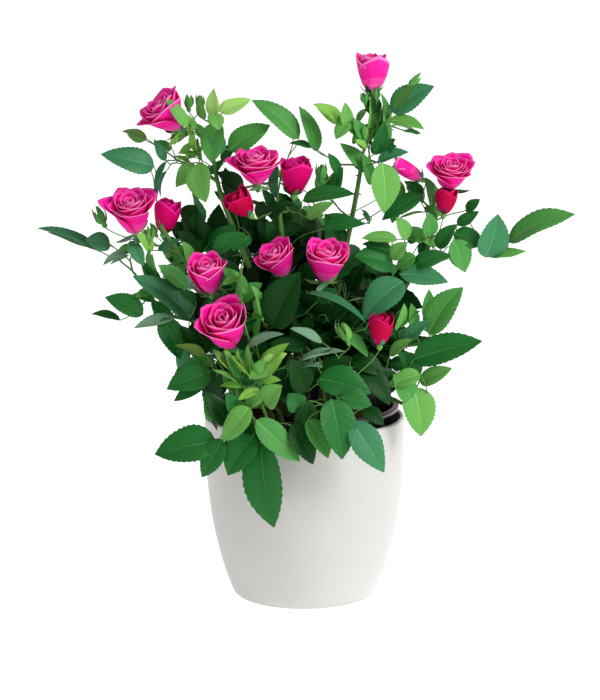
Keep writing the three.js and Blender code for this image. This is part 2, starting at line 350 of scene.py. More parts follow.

# %% [markdown]
# ## Leaf green, in nine tones
# A leaflet has three looks: a satin upper side, a paler dull underside and a light midrib. All leaflets of
# one spray are about as old as each other, so a tone is dealt out by spray: deep and dark inside the bush,
# bluish on strong old shoots, fresh and young at the tips. These tones also hold painted light: the
# near-black shade tone is painted shade for the leaves deepest in the bush, the deep tone is partly painted
# shade where it is laid inside the bush, and the bluish tone is partly a painted blue-grey sheen. Each is a
# plain colour, which stays exact on thousands of tiny faces. Only the sheen and the fine relief are worked
# out by nodes: side veins run forward from the midrib, so their height is a wave in (along minus a share of
# the distance from the rib).

# %% Leaf finishes
TONES = {  # the upper side, the underside and the midrib
    # painted shade: this near-black tone stands for the shade that falls on leaves deep in the bush
    "shade": (paint(2, 40, 5), paint(22, 62, 20), paint(12, 56, 14)),
    # the deep tone is a dark leaf green, and where it fills the inside of the bush it is partly painted shade
    "deep": (paint(6, 60, 9), paint(40, 92, 36), paint(26, 84, 26)),
    "dark": (paint(32, 104, 42), paint(80, 138, 74), paint(70, 138, 64)),
    # the blue tone is partly the leaves' own bluish green and partly a painted blue-grey sheen
    "blue": (paint(56, 124, 80), paint(106, 162, 130), paint(98, 158, 116)),
    "mid": (paint(70, 140, 62), paint(122, 174, 106), paint(116, 174, 92)),
    "fresh": (paint(98, 162, 74), paint(146, 196, 122), paint(144, 196, 110)),
    "young": (paint(124, 184, 76), paint(162, 206, 126), paint(166, 210, 118)),
    "pale": (paint(158, 208, 108), paint(180, 218, 144), paint(190, 224, 142)),
    "silver": (paint(118, 160, 128), paint(150, 188, 160), paint(160, 196, 166)),
}
TONE_NAMES = list(TONES)
SIDE_VEINS = 7
VEIN_LEAN = 0.55  # how far the side veins run forward
LEAF_SIDES = {  # roughness, and the depth of the relief in metres
    "leaf": (0.36, 0.00012), "leaf underside": (0.55, 0.0002), "leaf rib": (0.42, 0.00005),
}


def leaf_finish(name, colour, dullness, relief):
    finish = Finish(name, {"Base Color": colour, "IOR": 1.42, "Specular IOR Level": 0.22})
    across = finish.node("ShaderNodeSeparateXYZ", None, {0: finish.place("UV")})
    off_rib = (across - 0.5).through("ABSOLUTE")
    wave = ((across.beside("Y") - off_rib * VEIN_LEAN) * (math.tau * SIDE_VEINS)).through("SINE")
    grain = finish.noise(900)
    finish.bump(wave * 0.35 + grain * 0.6, relief)
    finish.wire("Roughness", dullness + 0.18 * grain)
    return finish.material


leaf_finishes = [
    leaf_finish(f"{side} {tone}", colour, *LEAF_SIDES[side])
    for tone, colours in TONES.items()
    for side, colour in zip(LEAF_SIDES, colours)
]
print("leaf finishes:", len(leaf_finishes))

# %% [markdown]
# ## One leaflet, many times
# A rose leaflet is oval with a drawn-out point, toothed along the edge, slightly folded along its rib and
# arched from foot to tip. Its surface is a function of two parameters: `along`, from foot to tip, and
# `across`, from one edge to the other. The half width is a power curve that is zero at both ends. Every
# other station reaches a little further out and forward, and these are the teeth.
# The underside is the same sheet set back by a hair, so each leaflet is a closed body with real thickness.

# %% The blade surface
COARSE = np.array([-1, -0.06, 0.06, 1.0])
FINE = np.array([-1, -0.55, -0.06, 0.06, 0.55, 1.0])
BLADE_KINDS = {  # points across, stations along, depth of the teeth, width of the rib in millimetres
    "fine": (FINE, 25, 0.032, 0.55),
    "plain": (COARSE, 12, 0.03, 0.55),
    "bud sepal": (COARSE, 8, 0.0, 0.3),
    "hip sepal": (COARSE, 8, 0.0, 0.4),
}
RIB_POINTS = 0.1  # the points that lie nearer to the middle than this belong to the rib
TWIST_ABOUT = 0.3  # the share of the length where a twisted blade keeps its facing
TOOTHED_FROM = 0.2  # no teeth where the arch has risen by less than this share, at the foot and the point
SHEET, RIB_DEPTH = 0.16, 0.42  # the thickness of the sheet, and that of the rib over its width
THINNEST = 0.035  # a blade's foot and tip, over its widest
USUAL_LENGTH = 30.0  # a leaflet whose rib has just the width given


def ovate(along, foot=0.56, point=0.88):
    """Half width along a leaflet, one at its widest: along^foot times (1 - along)^point."""
    widest = foot / (foot + point)
    peak = widest**foot * (1 - widest) ** point
    return np.maximum(along**foot * (1 - along) ** point / peak, THINNEST)


def blades(base, tip, face, width, bends, columns, stations, teeth, rib):
    """Points of many blades: the straight line from foot to tip, plus an arch towards the face and a sway
    sideways, both parabolas; plus across times the half width, turned by the twist; plus the lift of the
    fold, the bulge between rib and edge and the ripple of the edge."""
    s = np.linspace(0, 1, stations)
    chord = tip - base
    length = np.linalg.norm(chord, axis=1)
    ahead = unit(chord)
    face = square_to(ahead, face)
    side = np.cross(ahead, face)
    bow = 4 * s * (1 - s)
    line = base[:, None] + chord[:, None] * s[:, None]
    line = line + offsets(face, np.outer(bends["arch"] * length, bow))
    line = line + offsets(side, np.outer(bends["sway"] * length, bow))
    turn = np.outer(bends["twist"], s - TWIST_ABOUT)
    across_way = offsets(side, np.cos(turn)) + offsets(face, np.sin(turn))
    face_way = offsets(face, np.cos(turn)) - offsets(side, np.sin(turn))

    tooth = teeth * np.where(np.arange(stations) % 2, 1, -1) * (bow > TOOTHED_FROM)
    half = np.outer(0.5 * width, ovate(s) * (1 + tooth))[..., None]
    rib_half = np.outer(np.clip(length / USUAL_LENGTH, 0.4, 1.3), 0.5 * rib * (1.05 - s))[..., None]
    reach, is_rib = np.abs(columns), np.abs(columns) < RIB_POINTS
    out = np.where(is_rib, np.sign(columns) * np.minimum(rib_half, 0.6 * half), columns * half)
    fold, bulge, ripple, phase = (bends[x][:, None, None] for x in ("fold", "bulge", "ripple", "phase"))
    lift = np.abs(out) * np.tan(fold) + half * bulge * 4 * reach * (1 - reach) * ~is_rib
    lift = lift + half * ripple * np.sin(7.5 * s[:, None] + phase + 1.3 * np.sign(columns)) * reach**2
    forward = 0.5 * tooth[:, None] * reach**4 * half
    upper = line[:, :, None] + offsets(across_way, out) + offsets(face_way, lift) + offsets(ahead, forward)
    depth = np.where(is_rib, RIB_DEPTH * rib, SHEET) * (1.1 - 0.7 * s)[:, None]
    lower = upper - offsets(face_way, np.minimum(depth, half))
    ring = np.concatenate([upper, lower[:, :, -2:0:-1]], 2)
    return ring.reshape(len(base), stations * ring.shape[2], 3)


def blade_uvs(columns, stations):
    u = np.concatenate([columns, columns[-2:0:-1]]) / 2 + 0.5
    v = np.linspace(0, 1, stations)
    return np.stack(np.meshgrid(u, v), -1).reshape(-1, 2)


def blade_sides(columns, stations):
    """For each quad and triangle of a blade: 0 on the upper side, 1 under it, 2 on the rib."""
    count = len(columns)
    ring = np.ones(2 * count - 2, int)
    ring[: count - 1] = 0
    ring[count // 2 - 1] = 2
    quads = np.concatenate([np.tile(ring, stations - 1), np.zeros(2 * (count - 3), int)])
    return quads, np.zeros(4, int)


def bends_for(rng, count, arch=0.07, fold=0.24, twist=0.25):
    """How each of many blades is bent, drawn at random about the usual leaflet."""
    return {
        "arch": arch * (0.4 + 1.2 * rng.random(count)),
        "sway": 0.05 * rng.uniform(-1, 1, count),
        "twist": twist * rng.uniform(-1, 1, count),
        "fold": fold * (0.5 + rng.random(count)),
        "bulge": 0.10 + 0.08 * rng.random(count),
        "phase": rng.uniform(0, 2 * np.pi, count),
        "ripple": 0.06 * (0.5 + rng.random(count)),
    }


def add_blades(heap, kind, base, tip, face, width, tones, bends):
    """Blades of one kind in one of the leaf tones each, numbered as in TONE_NAMES."""
    columns, stations, teeth, rib = BLADE_KINDS[kind]
    points = blades(base, tip, face, width, bends, columns, stations, teeth, rib)
    quads, tris = blade_sides(columns, stations)
    first = len(LEAF_SIDES) * np.asarray(tones)[:, None]
    corners = blade_corners(stations, len(columns))
    heap.add(points, blade_uvs(columns, stations), corners, first + quads, first + tris)


print("points of a plain leaflet:", len(blade_uvs(*BLADE_KINDS["plain"][:2])))

# %% [markdown]
# ## The limbs
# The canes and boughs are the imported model's own curves: a cane leaves the soil upright and bends over to
# its tip, and a bough leaves a cane at a share of its length. The same few numbers give the same Bezier
# curves here, so bark, twigs and leaves all hang on the frame's limbs.

# %% The canes' and boughs' curves
GAP = 0.35
POT = {"height": 119, "rim": 65, "foot": 46, "edge": 2, "wall": 3, "floor": 4, "swell": 2.6}
GROWER = {"height": 122, "top": 59, "bottom": 41, "wall": 1.3, "lip_reach": 2.4, "lip_depth": 4}
SOIL_BELOW_LIP = 10
GROWER_FOOT = POT["floor"] + GAP
GROWER_LIP = GROWER_FOOT + GROWER["height"]
SOIL_TOP = GROWER_LIP - SOIL_BELOW_LIP
GROUND = SOIL_TOP + GAP

CANES = {  # foot on the soil, how far it rises straight, its tip, and the way it reaches the tip
    "cane_left": ((-22, -6), 60, (-92, -14, 246), (-14, -2, 30)),
    "cane_top_left": ((-12, 6), 70, (-58, 4, 284), (-3, 0, 42)),
    "cane_centre": ((-3, -9), 50, (-17, -10, 262), (-4, 0, 40)),
    "cane_top_right": ((12, 4), 60, (37, 0, 288), (5, 0, 46)),
    "cane_right": ((23, -6), 50, (84, -8, 250), (4, 0, 44)),
    "cane_back_left": ((-14, 20), 32, (-58, 62, 190), (-12, 10, 24)),
    "cane_back_right": ((15, 21), 32, (58, 64, 190), (12, 10, 24)),
    "cane_back": ((1, 26), 50, (8, 50, 246), (2, 4, 36)),
    "cane_front_left": ((-16, -24), 18, (-40, -68, 138), (-12, -22, 4)),
    "cane_front_right": ((13, -24), 16, (28, -66, 132), (8, -22, 3)),
}
BOUGHS = {  # the cane it leaves, where, the way it leaves, its tip, and the way it reaches the tip
    "bough_far_right": ("cane_right", 0.72, (10, 0, 8), (126, -6, 236), (20, 0, 5)),
    "bough_flank_left": ("cane_left", 0.42, (-8, -3, 8), (-90, -22, 190), (-16, -3, 8)),
    "bough_flank_right": ("cane_right", 0.3, (8, -3, 6), (88, -22, 172), (18, -4, 4)),
    "bough_side_right": ("cane_right", 0.14, (10, -2, 8), (74, -30, 128), (16, -8, -3)),
    "bough_back_low": ("cane_back", 0.13, (-3, 10, 6), (-8, 80, 132), (-3, 18, -2)),
}


DENSE = 200  # points of a curve that are enough to measure along it
MARKS = 100  # even steps of a cane, at one of which a bough leaves it


def bezier(handles, stations):
    """Points of cubic curves with handles (..., 4, 3), at even steps of their parameter."""
    t = np.linspace(0, 1, stations)
    weights = np.stack([(1 - t) ** 3, 3 * t * (1 - t) ** 2, 3 * t * t * (1 - t), t**3], -1)
    return np.einsum("sh,...hc->...sc", weights, np.asarray(handles, float))


def even_steps(handles, stations):
    """The same curve at even steps of its length."""
    dense = bezier(handles, DENSE)
    run = np.concatenate([[0], np.cumsum(np.linalg.norm(np.diff(dense, axis=0), axis=1))])
    want = np.linspace(0, run[-1], stations)
    return np.stack([np.interp(want, run, dense[:, i]) for i in range(3)], -1)


def limb(start, leave, tip, lead):
    """Handles of a curve that leaves start along leave and reaches its tip along lead."""
    end = np.array(tip, float)
    return np.array([start, start + leave, end - lead, end])


LIMBS = {
    name: limb(np.array([*foot, GROUND]), [0, 0, rise], tip, lead)
    for name, (foot, rise, tip, lead) in CANES.items()
}
for name, (cane, share, *rest) in BOUGHS.items():
    LIMBS[name] = limb(even_steps(LIMBS[cane], MARKS + 1)[round(share * MARKS)], *rest)
print("limbs:", len(LIMBS))

# %% [markdown]
# ## Tubes
# Twigs, canes, hips and prickles are all round tubes along a path, with a radius at each station. The two
# directions across a tube come from one fixed direction that the path never runs along, so a ring never
# flips over from one station to the next.


# %% The tube surface
def tubes(paths, radii, sides):
    """paths (tubes, stations, 3) plus radius times (cos, sin) of the angle round it, in the plane square
    to the path. radii is (tubes, stations) or, with a relief round the tube, (tubes, stations, sides)."""
    ahead = unit(np.gradient(paths, axis=1))
    chord = paths[:, -1] - paths[:, 0]
    fixed = np.eye(3)[np.abs(chord).argmin(1)][:, None]
    first = unit(np.cross(ahead, fixed))
    second = np.cross(ahead, first)
    angle = 2 * np.pi * np.arange(sides) / sides
    radii = radii if radii.ndim == 3 else radii[..., None]
    ring = first[:, :, None] * np.cos(angle)[:, None] + second[:, :, None] * np.sin(angle)[:, None]
    return (paths[:, :, None] + radii[..., None] * ring).reshape(len(paths), -1, 3)


def tube_uvs(stations, sides):
    v, u = np.meshgrid(np.linspace(0, 1, stations), np.arange(sides) / sides, indexing="ij")
    return np.stack([u, v], -1).reshape(-1, 2)


def add_tubes(heap, paths, radii, sides, finish=0):
    stations = paths.shape[1]
    number = np.asarray(finish).reshape(-1, 1)
    uvs, corners = tube_uvs(stations, sides), tube_corners(stations, sides)
    heap.add(tubes(paths, radii, sides), uvs, corners, number, number)


# %% [markdown]
# ## The leaflets that show
# The front of the bush has its own character: each spray that can be told apart is set down here, leaflet by
# leaflet, in the mass of foliage that it belongs to. A row gives where the leaflet's foot and tip show, how
# wide it shows, how deep in the bush it hangs, and its tone. A leaflet that shows narrower than it is wide
# is turned about its own length, by the angle whose cosine is the one over the other.

# %% Leaflets of the front, by mass
SHOWN_LEAFLETS = {  # foot across, foot down, tip across, tip down, width, depth, tone
    "leaves_top_left": [
        (154, 165, 101, 153, 26, -6, "blue"), (165, 159, 154, 138, 10, 2, "blue"),
        (147, 138, 122, 130, 9, 4, "fresh"), (166, 160, 157, 198, 8, -8, "blue"),
        (213, 116, 214, 87, 14, 0, "pale"), (219, 110, 251, 98, 16, -4, "pale"),
        (212, 112, 219, 129, 15, -14, "fresh"), (217, 121, 212, 162, 24, -8, "mid"),
        (229, 149, 270, 124, 24, -2, "mid"), (299, 137, 252, 99, 22, 2, "mid"),
        (199, 162, 206, 201, 25, -14, "fresh"), (194, 162, 176, 186, 16, -6, "fresh"),
        (187, 125, 166, 97, 12, -16, "fresh"), (196, 128, 181, 112, 10, -2, "fresh"),
        (203, 118, 200, 94, 10, 4, "fresh"), (172, 148, 153, 141, 8, 6, "mid"),
        (222, 160, 236, 140, 11, 8, "dark"), (206, 140, 196, 122, 10, 6, "fresh"),
        (191, 128, 169, 145, 11, 0, "pale"), (197, 141, 178, 153, 7, 2, "young"),
        (201, 150, 186, 159, 6, 0, "fresh"), (183, 119, 175, 103, 7, 0, "mid"),
        (190, 161, 174, 155, 5, 2, "young"), (210, 172, 224, 158, 9, 6, "dark"),
        (196, 151, 193, 128, 8, 2, "young"), (201, 158, 198, 136, 7, 4, "fresh"),
        (198, 154, 178, 152, 6, 2, "young"), (222, 152, 208, 128, 14, -10, "blue"),
    ],
    "leaves_left": [
        (95, 248, 37, 227, 10, -8, "blue"), (110, 243, 85, 239, 19, -6, "blue"),
        (130, 251, 103, 264, 8, -12, "silver"), (130, 240, 144, 265, 14, -14, "blue"),
        (158, 248, 181, 238, 9, -10, "blue"), (158, 290, 141, 260, 14, -14, "dark"),
        (186, 244, 176, 266, 12, -8, "mid"), (182, 218, 196, 204, 12, 2, "deep"),
        (131, 244, 117, 252, 7, -10, "fresh"), (152, 250, 136, 232, 12, -12, "young"),
        (168, 258, 185, 263, 6, -8, "dark"), (158, 277, 150, 247, 7, -12, "mid"),
        (191, 264, 182, 240, 10, -12, "fresh"), (186, 286, 158, 264, 16, -16, "mid"),
        (152, 240, 139, 228, 8, -10, "fresh"),
    ],
    "leaves_flank_left": [
        (194, 319, 133, 275, 24, -20, "blue"), (143, 313, 105, 296, 21, -26, "dark"),
        (120, 319, 91, 313, 8, -20, "dark"), (152, 299, 131, 294, 9, -18, "mid"),
        (175, 316, 134, 327, 12, -28, "silver"), (163, 317, 180, 358, 24, -32, "dark"),
        (190, 348, 177, 366, 14, -30, "blue"), (180, 285, 160, 268, 12, -12, "mid"),
        (167, 322, 151, 299, 17, -24, "dark"), (194, 350, 180, 324, 16, -36, "deep"),
        (150, 290, 136, 296, 9, -18, "fresh"), (208, 352, 192, 326, 14, -40, "deep"),
    ],
    "leaves_crown_top": [
        (214, 252, 245, 232, 17, -30, "dark"), (196, 238, 196, 204, 26, 2, "deep"),
        (303, 199, 355, 193, 17, -14, "dark"), (307, 216, 334, 201, 13, -24, "fresh"),
        (322, 228, 365, 223, 15, -22, "dark"), (340, 172, 328, 152, 11, 0, "dark"),
        (317, 150, 299, 105, 16, 4, "mid"), (313, 146, 289, 142, 7, 4, "dark"),
        (268, 214, 290, 200, 15, -6, "deep"), (352, 262, 334, 276, 14, -18, "dark"),
        (300, 224, 282, 236, 13, -4, "deep"), (250, 236, 232, 250, 14, -10, "dark"),
        (352, 224, 327, 213, 11, -10, "dark"), (262, 200, 262, 222, 13, 0, "deep"),
        (206, 250, 183, 208, 27, 10, "deep"), (218, 254, 219, 203, 26, 16, "deep"),
        (224, 258, 228, 218, 22, 12, "deep"), (208, 244, 236, 224, 17, 6, "dark"),
        (200, 254, 177, 230, 19, 2, "deep"), (244, 238, 223, 203, 20, 18, "deep"),
        (234, 196, 225, 166, 15, 8, "deep"), (232, 206, 214, 190, 10, 10, "dark"),
        # the second leaflet on the next line takes the near-black shade tone, which is painted shade
        (264, 238, 240, 215, 20, 12, "deep"), (260, 252, 248, 221, 20, 16, "shade"),
        (275, 195, 277, 163, 11, -2, "blue"), (243, 188, 217, 171, 17, 6, "deep"),
        (189, 238, 171, 221, 19, 0, "deep"), (270, 248, 258, 214, 19, 10, "deep"),
        (273, 205, 262, 188, 11, 2, "dark"), (276, 242, 266, 220, 15, 4, "dark"),
        (350, 290, 365, 262, 17, -8, "deep"),
    ],
    "leaves_top_right": [
        (391, 110, 434, 85, 26, -4, "blue"), (389, 119, 424, 128, 13, -8, "fresh"),
        (343, 123, 313, 103, 12, 2, "young"), (349, 128, 345, 101, 13, -4, "fresh"),
        (348, 120, 336, 138, 15, -6, "fresh"), (378, 132, 384, 102, 10, 0, "fresh"),
        (367, 167, 340, 142, 15, 0, "mid"), (378, 147, 397, 145, 10, 2, "dark"),
        (378, 160, 409, 151, 12, -4, "blue"), (382, 162, 384, 212, 29, -18, "fresh"),
        (421, 194, 382, 219, 18, -10, "dark"), (364, 128, 352, 142, 10, 4, "mid"),
        (405, 129, 421, 133, 5, 2, "dark"), (357, 121, 368, 107, 7, 6, "fresh"),
        (370, 222, 361, 208, 5, 0, "dark"), (398, 196, 392, 222, 14, -2, "mid"),
        (385, 147, 374, 104, 13, 2, "mid"), (367, 141, 377, 115, 11, 5, "fresh"),
        (372, 152, 396, 138, 12, 6, "mid"), (397, 178, 389, 217, 20, 2, "mid"),
        (321, 190, 322, 163, 14, 5, "mid"), (330, 193, 343, 166, 15, 3, "dark"),
        (352, 160, 371, 172, 10, 6, "dark"), (367, 146, 355, 139, 7, -4, "young"),
        (370, 129, 371, 93, 9, 2, "fresh"), (368, 139, 353, 117, 13, -2, "mid"),
        (384, 130, 381, 92, 9, 4, "mid"), (373, 114, 362, 93, 10, -2, "deep"),
        (377, 112, 375, 93, 9, -4, "deep"), (375, 151, 384, 120, 14, 0, "dark"),
        (384, 152, 394, 137, 13, 0, "dark"), (372, 183, 362, 152, 13, 2, "mid"),
        (357, 133, 341, 112, 13, 0, "fresh"), (394, 107, 417, 83, 11, -10, "mid"),
        (424, 200, 404, 180, 13, 4, "dark"),
    ],
    "leaves_right": [
        (466, 209, 480, 198, 11, -6, "dark"), (457, 223, 479, 210, 12, -8, "dark"),
        (407, 238, 396, 216, 15, -18, "fresh"), (430, 235, 429, 211, 16, -16, "mid"),
        (392, 258, 407, 241, 15, -24, "fresh"), (397, 238, 362, 237, 12, -22, "fresh"),
        (408, 240, 424, 229, 11, -12, "mid"), (437, 246, 456, 223, 16, -14, "dark"),
        (454, 232, 484, 245, 20, -10, "dark"), (453, 239, 465, 271, 23, -18, "mid"),
        (413, 264, 449, 253, 17, -24, "dark"), (393, 264, 354, 255, 26, -20, "dark"),
        (400, 273, 448, 281, 20, -28, "blue"), (415, 254, 396, 268, 15, -26, "mid"),
        (440, 214, 424, 206, 11, 0, "mid"), (430, 240, 418, 252, 12, -6, "dark"),
        (432, 207, 425, 176, 12, 6, "mid"), (441, 206, 437, 186, 8, 6, "fresh"),
        (424, 240, 408, 226, 14, -10, "mid"), (424, 211, 398, 218, 4, -8, "fresh"),
        (437, 244, 420, 238, 9, -8, "fresh"), (394, 250, 362, 243, 10, -16, "dark"),
    ],
    "leaves_far_right": [
        (485, 256, 498, 213, 31, -12, "blue"), (509, 241, 575, 213, 22, -8, "mid"),
        (491, 256, 526, 250, 9, -10, "fresh"), (494, 254, 474, 240, 12, -4, "dark"),
    ],
    "leaves_flank_right": [
        (403, 280, 363, 319, 31, -38, "blue"), (429, 332, 463, 286, 28, -34, "mid"),
        (414, 358, 482, 340, 30, -36, "dark"), (420, 381, 452, 367, 17, -34, "fresh"),
        (394, 324, 420, 310, 15, -24, "mid"), (400, 345, 414, 325, 14, -30, "mid"),
        (397, 330, 404, 302, 10, -28, "fresh"), (413, 330, 411, 302, 11, -26, "mid"),
        (402, 342, 429, 319, 14, -34, "blue"), (390, 354, 412, 338, 11, -38, "fresh"),
        (426, 316, 429, 288, 13, -20, "mid"), (405, 344, 387, 319, 16, -26, "deep"),
        (420, 374, 398, 351, 19, -28, "dark"),
    ],
    "leaves_side_right": [
        (413, 386, 421, 435, 33, -38, "fresh"), (410, 390, 390, 377, 16, -36, "mid"),
        (396, 388, 374, 366, 22, -40, "deep"), (411, 398, 393, 373, 23, -43, "mid"),
        (376, 383, 352, 368, 15, -34, "deep"), (420, 373, 388, 385, 17, -44, "fresh"),
    ],
    "leaves_core_left": [
        (211, 370, 167, 388, 29, -56, "dark"), (219, 368, 217, 429, 20, -58, "deep"),
        (260, 370, 289, 342, 15, -62, "young"), (247, 347, 284, 333, 9, -60, "silver"),
        (205, 353, 175, 344, 9, -50, "young"), (273, 362, 249, 378, 18, -66, "fresh"),
        (272, 325, 300, 271, 38, -54, "deep"), (240, 300, 262, 282, 16, -42, "mid"),
        (196, 300, 180, 290, 12, -34, "dark"), (250, 366, 234, 348, 14, -58, "dark"),
        (232, 372, 246, 392, 16, -62, "mid"), (268, 306, 252, 318, 12, -44, "fresh"),
        (246, 376, 225, 353, 17, -62, "mid"), (242, 390, 221, 374, 16, -60, "fresh"),
        (257, 393, 238, 371, 17, -60, "dark"), (262, 385, 243, 366, 14, -57, "mid"),
        (264, 338, 236, 372, 28, -40, "deep"), (236, 394, 263, 358, 26, -44, "deep"),
        (287, 371, 262, 392, 23, -50, "dark"), (294, 393, 268, 371, 21, -52, "deep"),
        (302, 403, 276, 380, 23, -56, "deep"), (322, 368, 296, 388, 22, -48, "deep"),
        (256, 379, 231, 355, 9, -70, "young"), (258, 377, 248, 343, 9, -68, "fresh"),
        (263, 377, 283, 357, 10, -70, "young"), (259, 388, 238, 399, 9, -72, "young"),
        (207, 380, 174, 400, 14, -54, "dark"), (224, 393, 203, 364, 19, -50, "deep"),
        (214, 406, 208, 374, 15, -52, "dark"), (215, 363, 190, 351, 12, -46, "mid"),
        (306, 345, 268, 343, 15, -56, "deep"), (236, 372, 215, 356, 6, -66, "young"),
        (238, 379, 213, 369, 6, -66, "fresh"), (242, 386, 220, 385, 6, -68, "young"),
        (245, 372, 238, 348, 6, -66, "young"), (251, 376, 253, 350, 6, -66, "fresh"),
        (261, 367, 287, 352, 13, -66, "pale"), (262, 381, 281, 379, 8, -68, "young"),
        (255, 391, 270, 401, 7, -70, "fresh"), (248, 393, 233, 403, 6, -70, "fresh"),
        (251, 398, 249, 419, 5, -72, "fresh"), (251, 342, 244, 256, 5, -52, "fresh"),
        (263, 320, 251, 284, 10, -50, "fresh"), (256, 340, 263, 312, 7, -54, "mid"),
        (246, 292, 222, 266, 15, -44, "mid"), (241, 273, 222, 284, 9, -46, "fresh"),
        (228, 366, 212, 348, 8, -62, "fresh"), (232, 362, 224, 346, 6, -64, "young"),
    ],
    "leaves_core_right": [
        (322, 341, 290, 327, 9, -54, "silver"), (298, 361, 345, 350, 5, -58, "silver"),
        (300, 348, 296, 318, 14, -46, "deep"), (318, 378, 371, 392, 30, -60, "dark"),
        (322, 371, 353, 356, 16, -54, "deep"), (306, 390, 290, 358, 24, -58, "deep"),
        (348, 300, 330, 318, 16, -42, "deep"), (352, 356, 384, 374, 21, -44, "deep"),
        (340, 326, 362, 312, 15, -40, "deep"), (318, 300, 336, 288, 14, -36, "dark"),
        (362, 368, 390, 404, 22, -46, "deep"), (312, 316, 300, 336, 13, -44, "deep"),
        (299, 360, 334, 347, 5, -60, "silver"), (292, 367, 323, 366, 6, -58, "silver"),
        (308, 292, 367, 323, 7, -46, "blue"), (346, 332, 368, 356, 11, -50, "mid"),
    ],
    "leaves_apron_left": [
        (216, 440, 155, 453, 36, -76, "dark"), (222, 438, 202, 476, 22, -80, "dark"),
        (254, 434, 228, 474, 31, -82, "dark"), (249, 406, 223, 440, 23, -84, "fresh"),
        (256, 419, 300, 460, 25, -86, "mid"), (262, 442, 274, 526, 38, -84, "dark"),
        (266, 404, 282, 384, 22, -78, "fresh"), (246, 404, 268, 392, 14, -74, "fresh"),
        (229, 421, 205, 391, 20, -70, "deep"), (242, 418, 226, 391, 18, -72, "dark"),
        (213, 419, 204, 396, 14, -66, "mid"), (262, 446, 246, 420, 17, -74, "deep"),
        (252, 428, 224, 445, 18, -76, "deep"), (266, 424, 241, 448, 19, -75, "dark"),
    ],
    "leaves_apron_right": [
        (291, 424, 313, 463, 22, -80, "deep"), (308, 418, 328, 457, 21, -82, "mid"),
        (331, 398, 342, 458, 34, -84, "dark"), (352, 421, 384, 471, 29, -84, "blue"),
        (340, 396, 372, 404, 20, -74, "dark"), (300, 410, 288, 392, 20, -72, "dark"),
        (362, 408, 384, 424, 15, -68, "deep"), (308, 400, 300, 446, 22, -72, "deep"),
    ],
}
SAG = 0.8  # the arch lifts the middle of a leaflet by about this much
TIP_DEEPER = (-9, 3)  # how much deeper in the bush a leaflet's tip hangs than its foot, drawn between these
FULLER = 1.1  # a leaflet's true width over what shows of it, at least
NARROWEST = 0.46  # a leaflet's width over its length, at least


def first_columns(rows, count):
    """The first numbers of all rows, as one array for each column."""
    return np.array([row[:count] for row in rows], float).T


def tone_numbers(rows):
    return np.array([TONE_NAMES.index(row[-1]) for row in rows])


def shown_leaflets(rows, rng):
    """Feet, tips, faces, widths and tones in the world. The face looks at the camera, then turns about the
    leaflet's length until the leaflet shows as narrow as its row says, upper side upwards."""
    across, down, tip_across, tip_down, shown_width, depth = first_columns(rows, 6)
    foot = seen(across, down, depth) - PICTURE_UP * SAG
    tip = seen(tip_across, tip_down, depth + rng.uniform(*TIP_DEEPER, len(rows))) - PICTURE_UP * SAG
    shown = shown_width / SCALE
    width = np.maximum(shown * FULLER, NARROWEST * np.linalg.norm(tip - foot, axis=1))
    turn = np.arccos(np.clip(shown / width, 0.2, 1))
    ahead = unit(tip - foot)
    to_camera = square_to(ahead, np.broadcast_to(TO_CAMERA, foot.shape))
    side = np.cross(ahead, to_camera)
    upwards = np.sign(side[:, 2] + 0.3 * side[:, 0] * np.sign(foot[:, 0]) + 1e-6)
    face = offsets(to_camera, np.cos(turn)) + offsets(side, np.sin(turn) * upwards)
    return foot, tip, face, width, tone_numbers(rows)


shown_rng = np.random.default_rng(11)
front_leaflets = {mass: shown_leaflets(rows, shown_rng) for mass, rows in SHOWN_LEAFLETS.items()}
print("leaflets placed by eye:", sum(len(rows) for rows in SHOWN_LEAFLETS.values()))

# %% [markdown]
# The loose sprays at the top and the sides must not be flat when the plant is walked round. So most of
# their leaflets get a smaller one some way behind, turned at random about its own length, which the front
# one hides.

# %% Leaflets behind the loose sprays
LOOSE = ("leaves_top_left", "leaves_left", "leaves_top_right", "leaves_right", "leaves_far_right")
BEHIND_KEPT = 0.85  # the share of leaflets that get another behind them
BEHIND_BY = (10, 34)  # how far behind, in millimetres
BEHIND_LENGTH, BEHIND_WIDTH = 0.72, 0.6  # over those of the leaflet in front
BEHIND_TURN = 1.2  # at most, in radians
EDGE_ON = 0.6  # a leaflet that faces the camera by less than this isn't turned, so that it stays narrow


def leaflets_behind(rows, rng):
    """Feet, tips, faces, widths and tones of leaflets that stand some way behind those of the front."""
    kept = rng.random(len(rows[0])) < BEHIND_KEPT
    foot, tip, face, width, tones = (x[kept] for x in rows)
    middle, away = (foot + tip) / 2, -TO_CAMERA * rng.uniform(*BEHIND_BY, (len(foot), 1))
    turn = rng.uniform(-BEHIND_TURN, BEHIND_TURN, (len(foot), 1))
    turn = turn * (np.abs(face @ TO_CAMERA) > EDGE_ON)[:, None]
    face = face * np.cos(turn) + np.cross(unit(tip - foot), face) * np.sin(turn)
    foot = middle + BEHIND_LENGTH * (foot - middle) + away
    tip = middle + BEHIND_LENGTH * (tip - middle) + away * rng.uniform(0.75, 1.25, (len(foot), 1))
    return foot, tip, face, width * BEHIND_WIDTH, tones


behind_rng = np.random.default_rng(17)
behind_leaflets = {mass: leaflets_behind(front_leaflets[mass], behind_rng) for mass in LOOSE}
print("leaflets behind them:", sum(len(rows[0]) for rows in behind_leaflets.values()))

# %% [markdown]
# ## The flowers' places
# Each flower has a place in the picture, a width and height, a depth, a way it faces and how far it has
# opened, from 0 for a tight bud to 1 for a full rosette. Those round the sides and the back are set down in
# the world.

